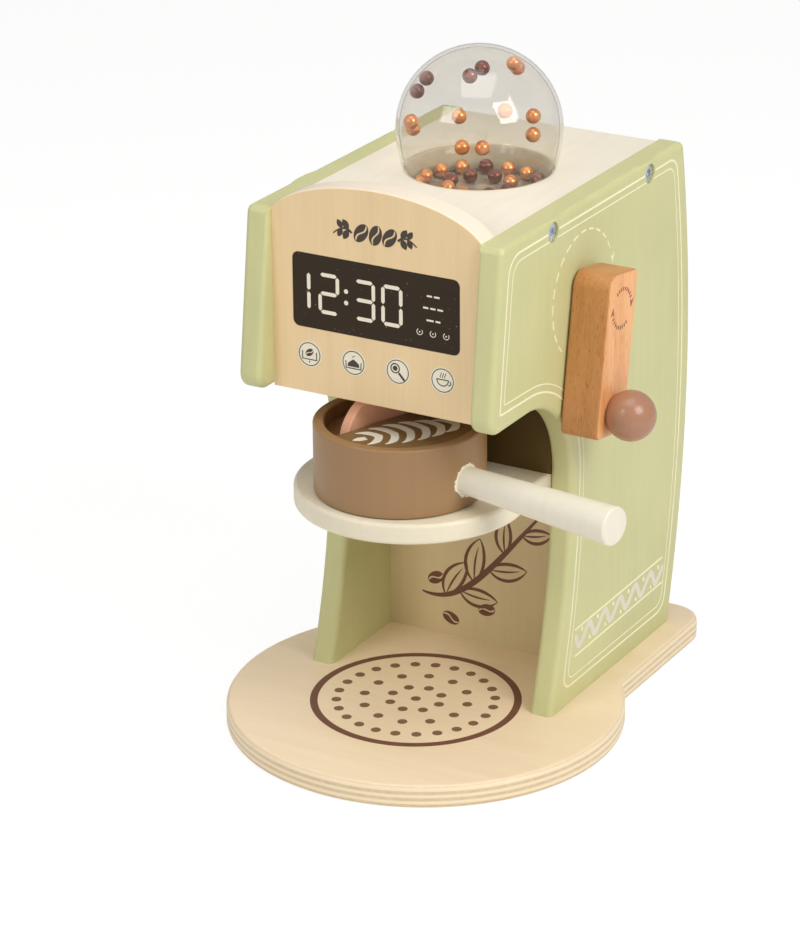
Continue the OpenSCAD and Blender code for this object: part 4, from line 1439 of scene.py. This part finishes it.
milk_leaf = bmesh.new()
add_stroke(milk_leaf, [(leaf_x, -31.0), (leaf_x, -28.0), (leaf_x, -24.0)], 5.0, root_width)
for i, reach in enumerate((7.5, 10.5, 12.0, 12.0, 10.5, 8.0)):
    y = first_blade + blade_pitch * i
    knots = ((0, y + 1.5), (reach * 0.5, y + 0.2), (reach * 0.95, y - 2.0), (reach, y - 7.5))
    right_blade = bezier_points(*knots, 10)
    left_blade = [Vector((-point.x, point.y)) for point in reversed(right_blade[1:])]
    chevron = [Vector((leaf_x, 0)) + point for point in left_blade + right_blade]
    add_stroke(milk_leaf, chevron, blade, blade_width)
lay_print("milk_leaf", milk_leaf, on_filling, "portafilter", milk_ink)

# %% [markdown]
# ## Floor and light
# A wide pale floor and soft studio boxes show the finish plainly. The world gives even light, and a
# key box on the right models the forms. Rays from the camera, also those through the dome, see a
# white world and a glowing floor, so that the background stays white without more light on the toy.

# %% Floor
floor_half_side = 6.0
floor_white = (0.93, 0.93, 0.93, 1.0)
glow_strength = 1.12
glow_share = 0.75
floor_mesh = bmesh.new()
bmesh.ops.create_grid(floor_mesh, x_segments=1, y_segments=1, size=floor_half_side)
floor_data = bpy.data.meshes.new("studio_floor")
floor_mesh.to_mesh(floor_data)
floor_mesh.free()
floor = add_object("studio_floor", floor_data)
floor_finish, floor_tree, floor_shader = new_material("studio floor")
set_shader(floor_shader, Base_Color=floor_white, Roughness=0.9, Specular_IOR_Level=0.1)
floor_glow = add_node(floor_tree, "Emission", None, {"Color": (1, 1, 1, 1), "Strength": glow_strength})
glow_amount = times(floor_tree, seen_rays(floor_tree), glow_share)
mix_on_surface(floor_tree, glow_amount, floor_shader, floor_glow)
floor_data.materials.append(floor_finish)

# %% World and soft boxes
world = bpy.data.worlds.new("studio")
world.use_nodes = True
bpy.context.scene.world = world
sky_tree = world.node_tree
sky = sky_tree.nodes["Background"]
seen_level, even_level = 1.0, 0.41
sky_strength = spread(sky_tree, seen_rays(sky_tree), 0.0, 1.0, even_level, seen_level)
fill_socket(sky_tree, sky.inputs["Strength"], sky_strength)
sky.inputs["Color"].default_value = (1.0, 0.99, 0.97, 1.0)


lamp_target = Vector((0.0, 0.04, 0.15))


def soft_box(name, turn, height, distance, size, power, warmth=1.0):
    """A square studio lamp round the toy: turn is its angle from the front towards the right."""
    rise = math.radians(height)
    side = math.radians(turn)
    direction = Vector((math.sin(side) * math.cos(rise), -math.cos(side) * math.cos(rise), math.sin(rise)))
    lamp = bpy.data.lights.new(name, "AREA")
    lamp.size = size
    lamp.energy = power
    lamp.color = (1.0, warmth, warmth * warmth)
    holder = add_object(name, lamp)
    holder.location = lamp_target + direction * distance
    holder.rotation_euler = direction.to_track_quat("Z", "Y").to_euler()


soft_box("key_box", 75, 38, 1.5, 0.7, 11.5, 0.98)
soft_box("fill_box", -20, 32, 1.6, 0.6, 4.7, 0.98)
soft_box("top_box", 20, 82, 1.4, 0.9, 5.3, 1.0)
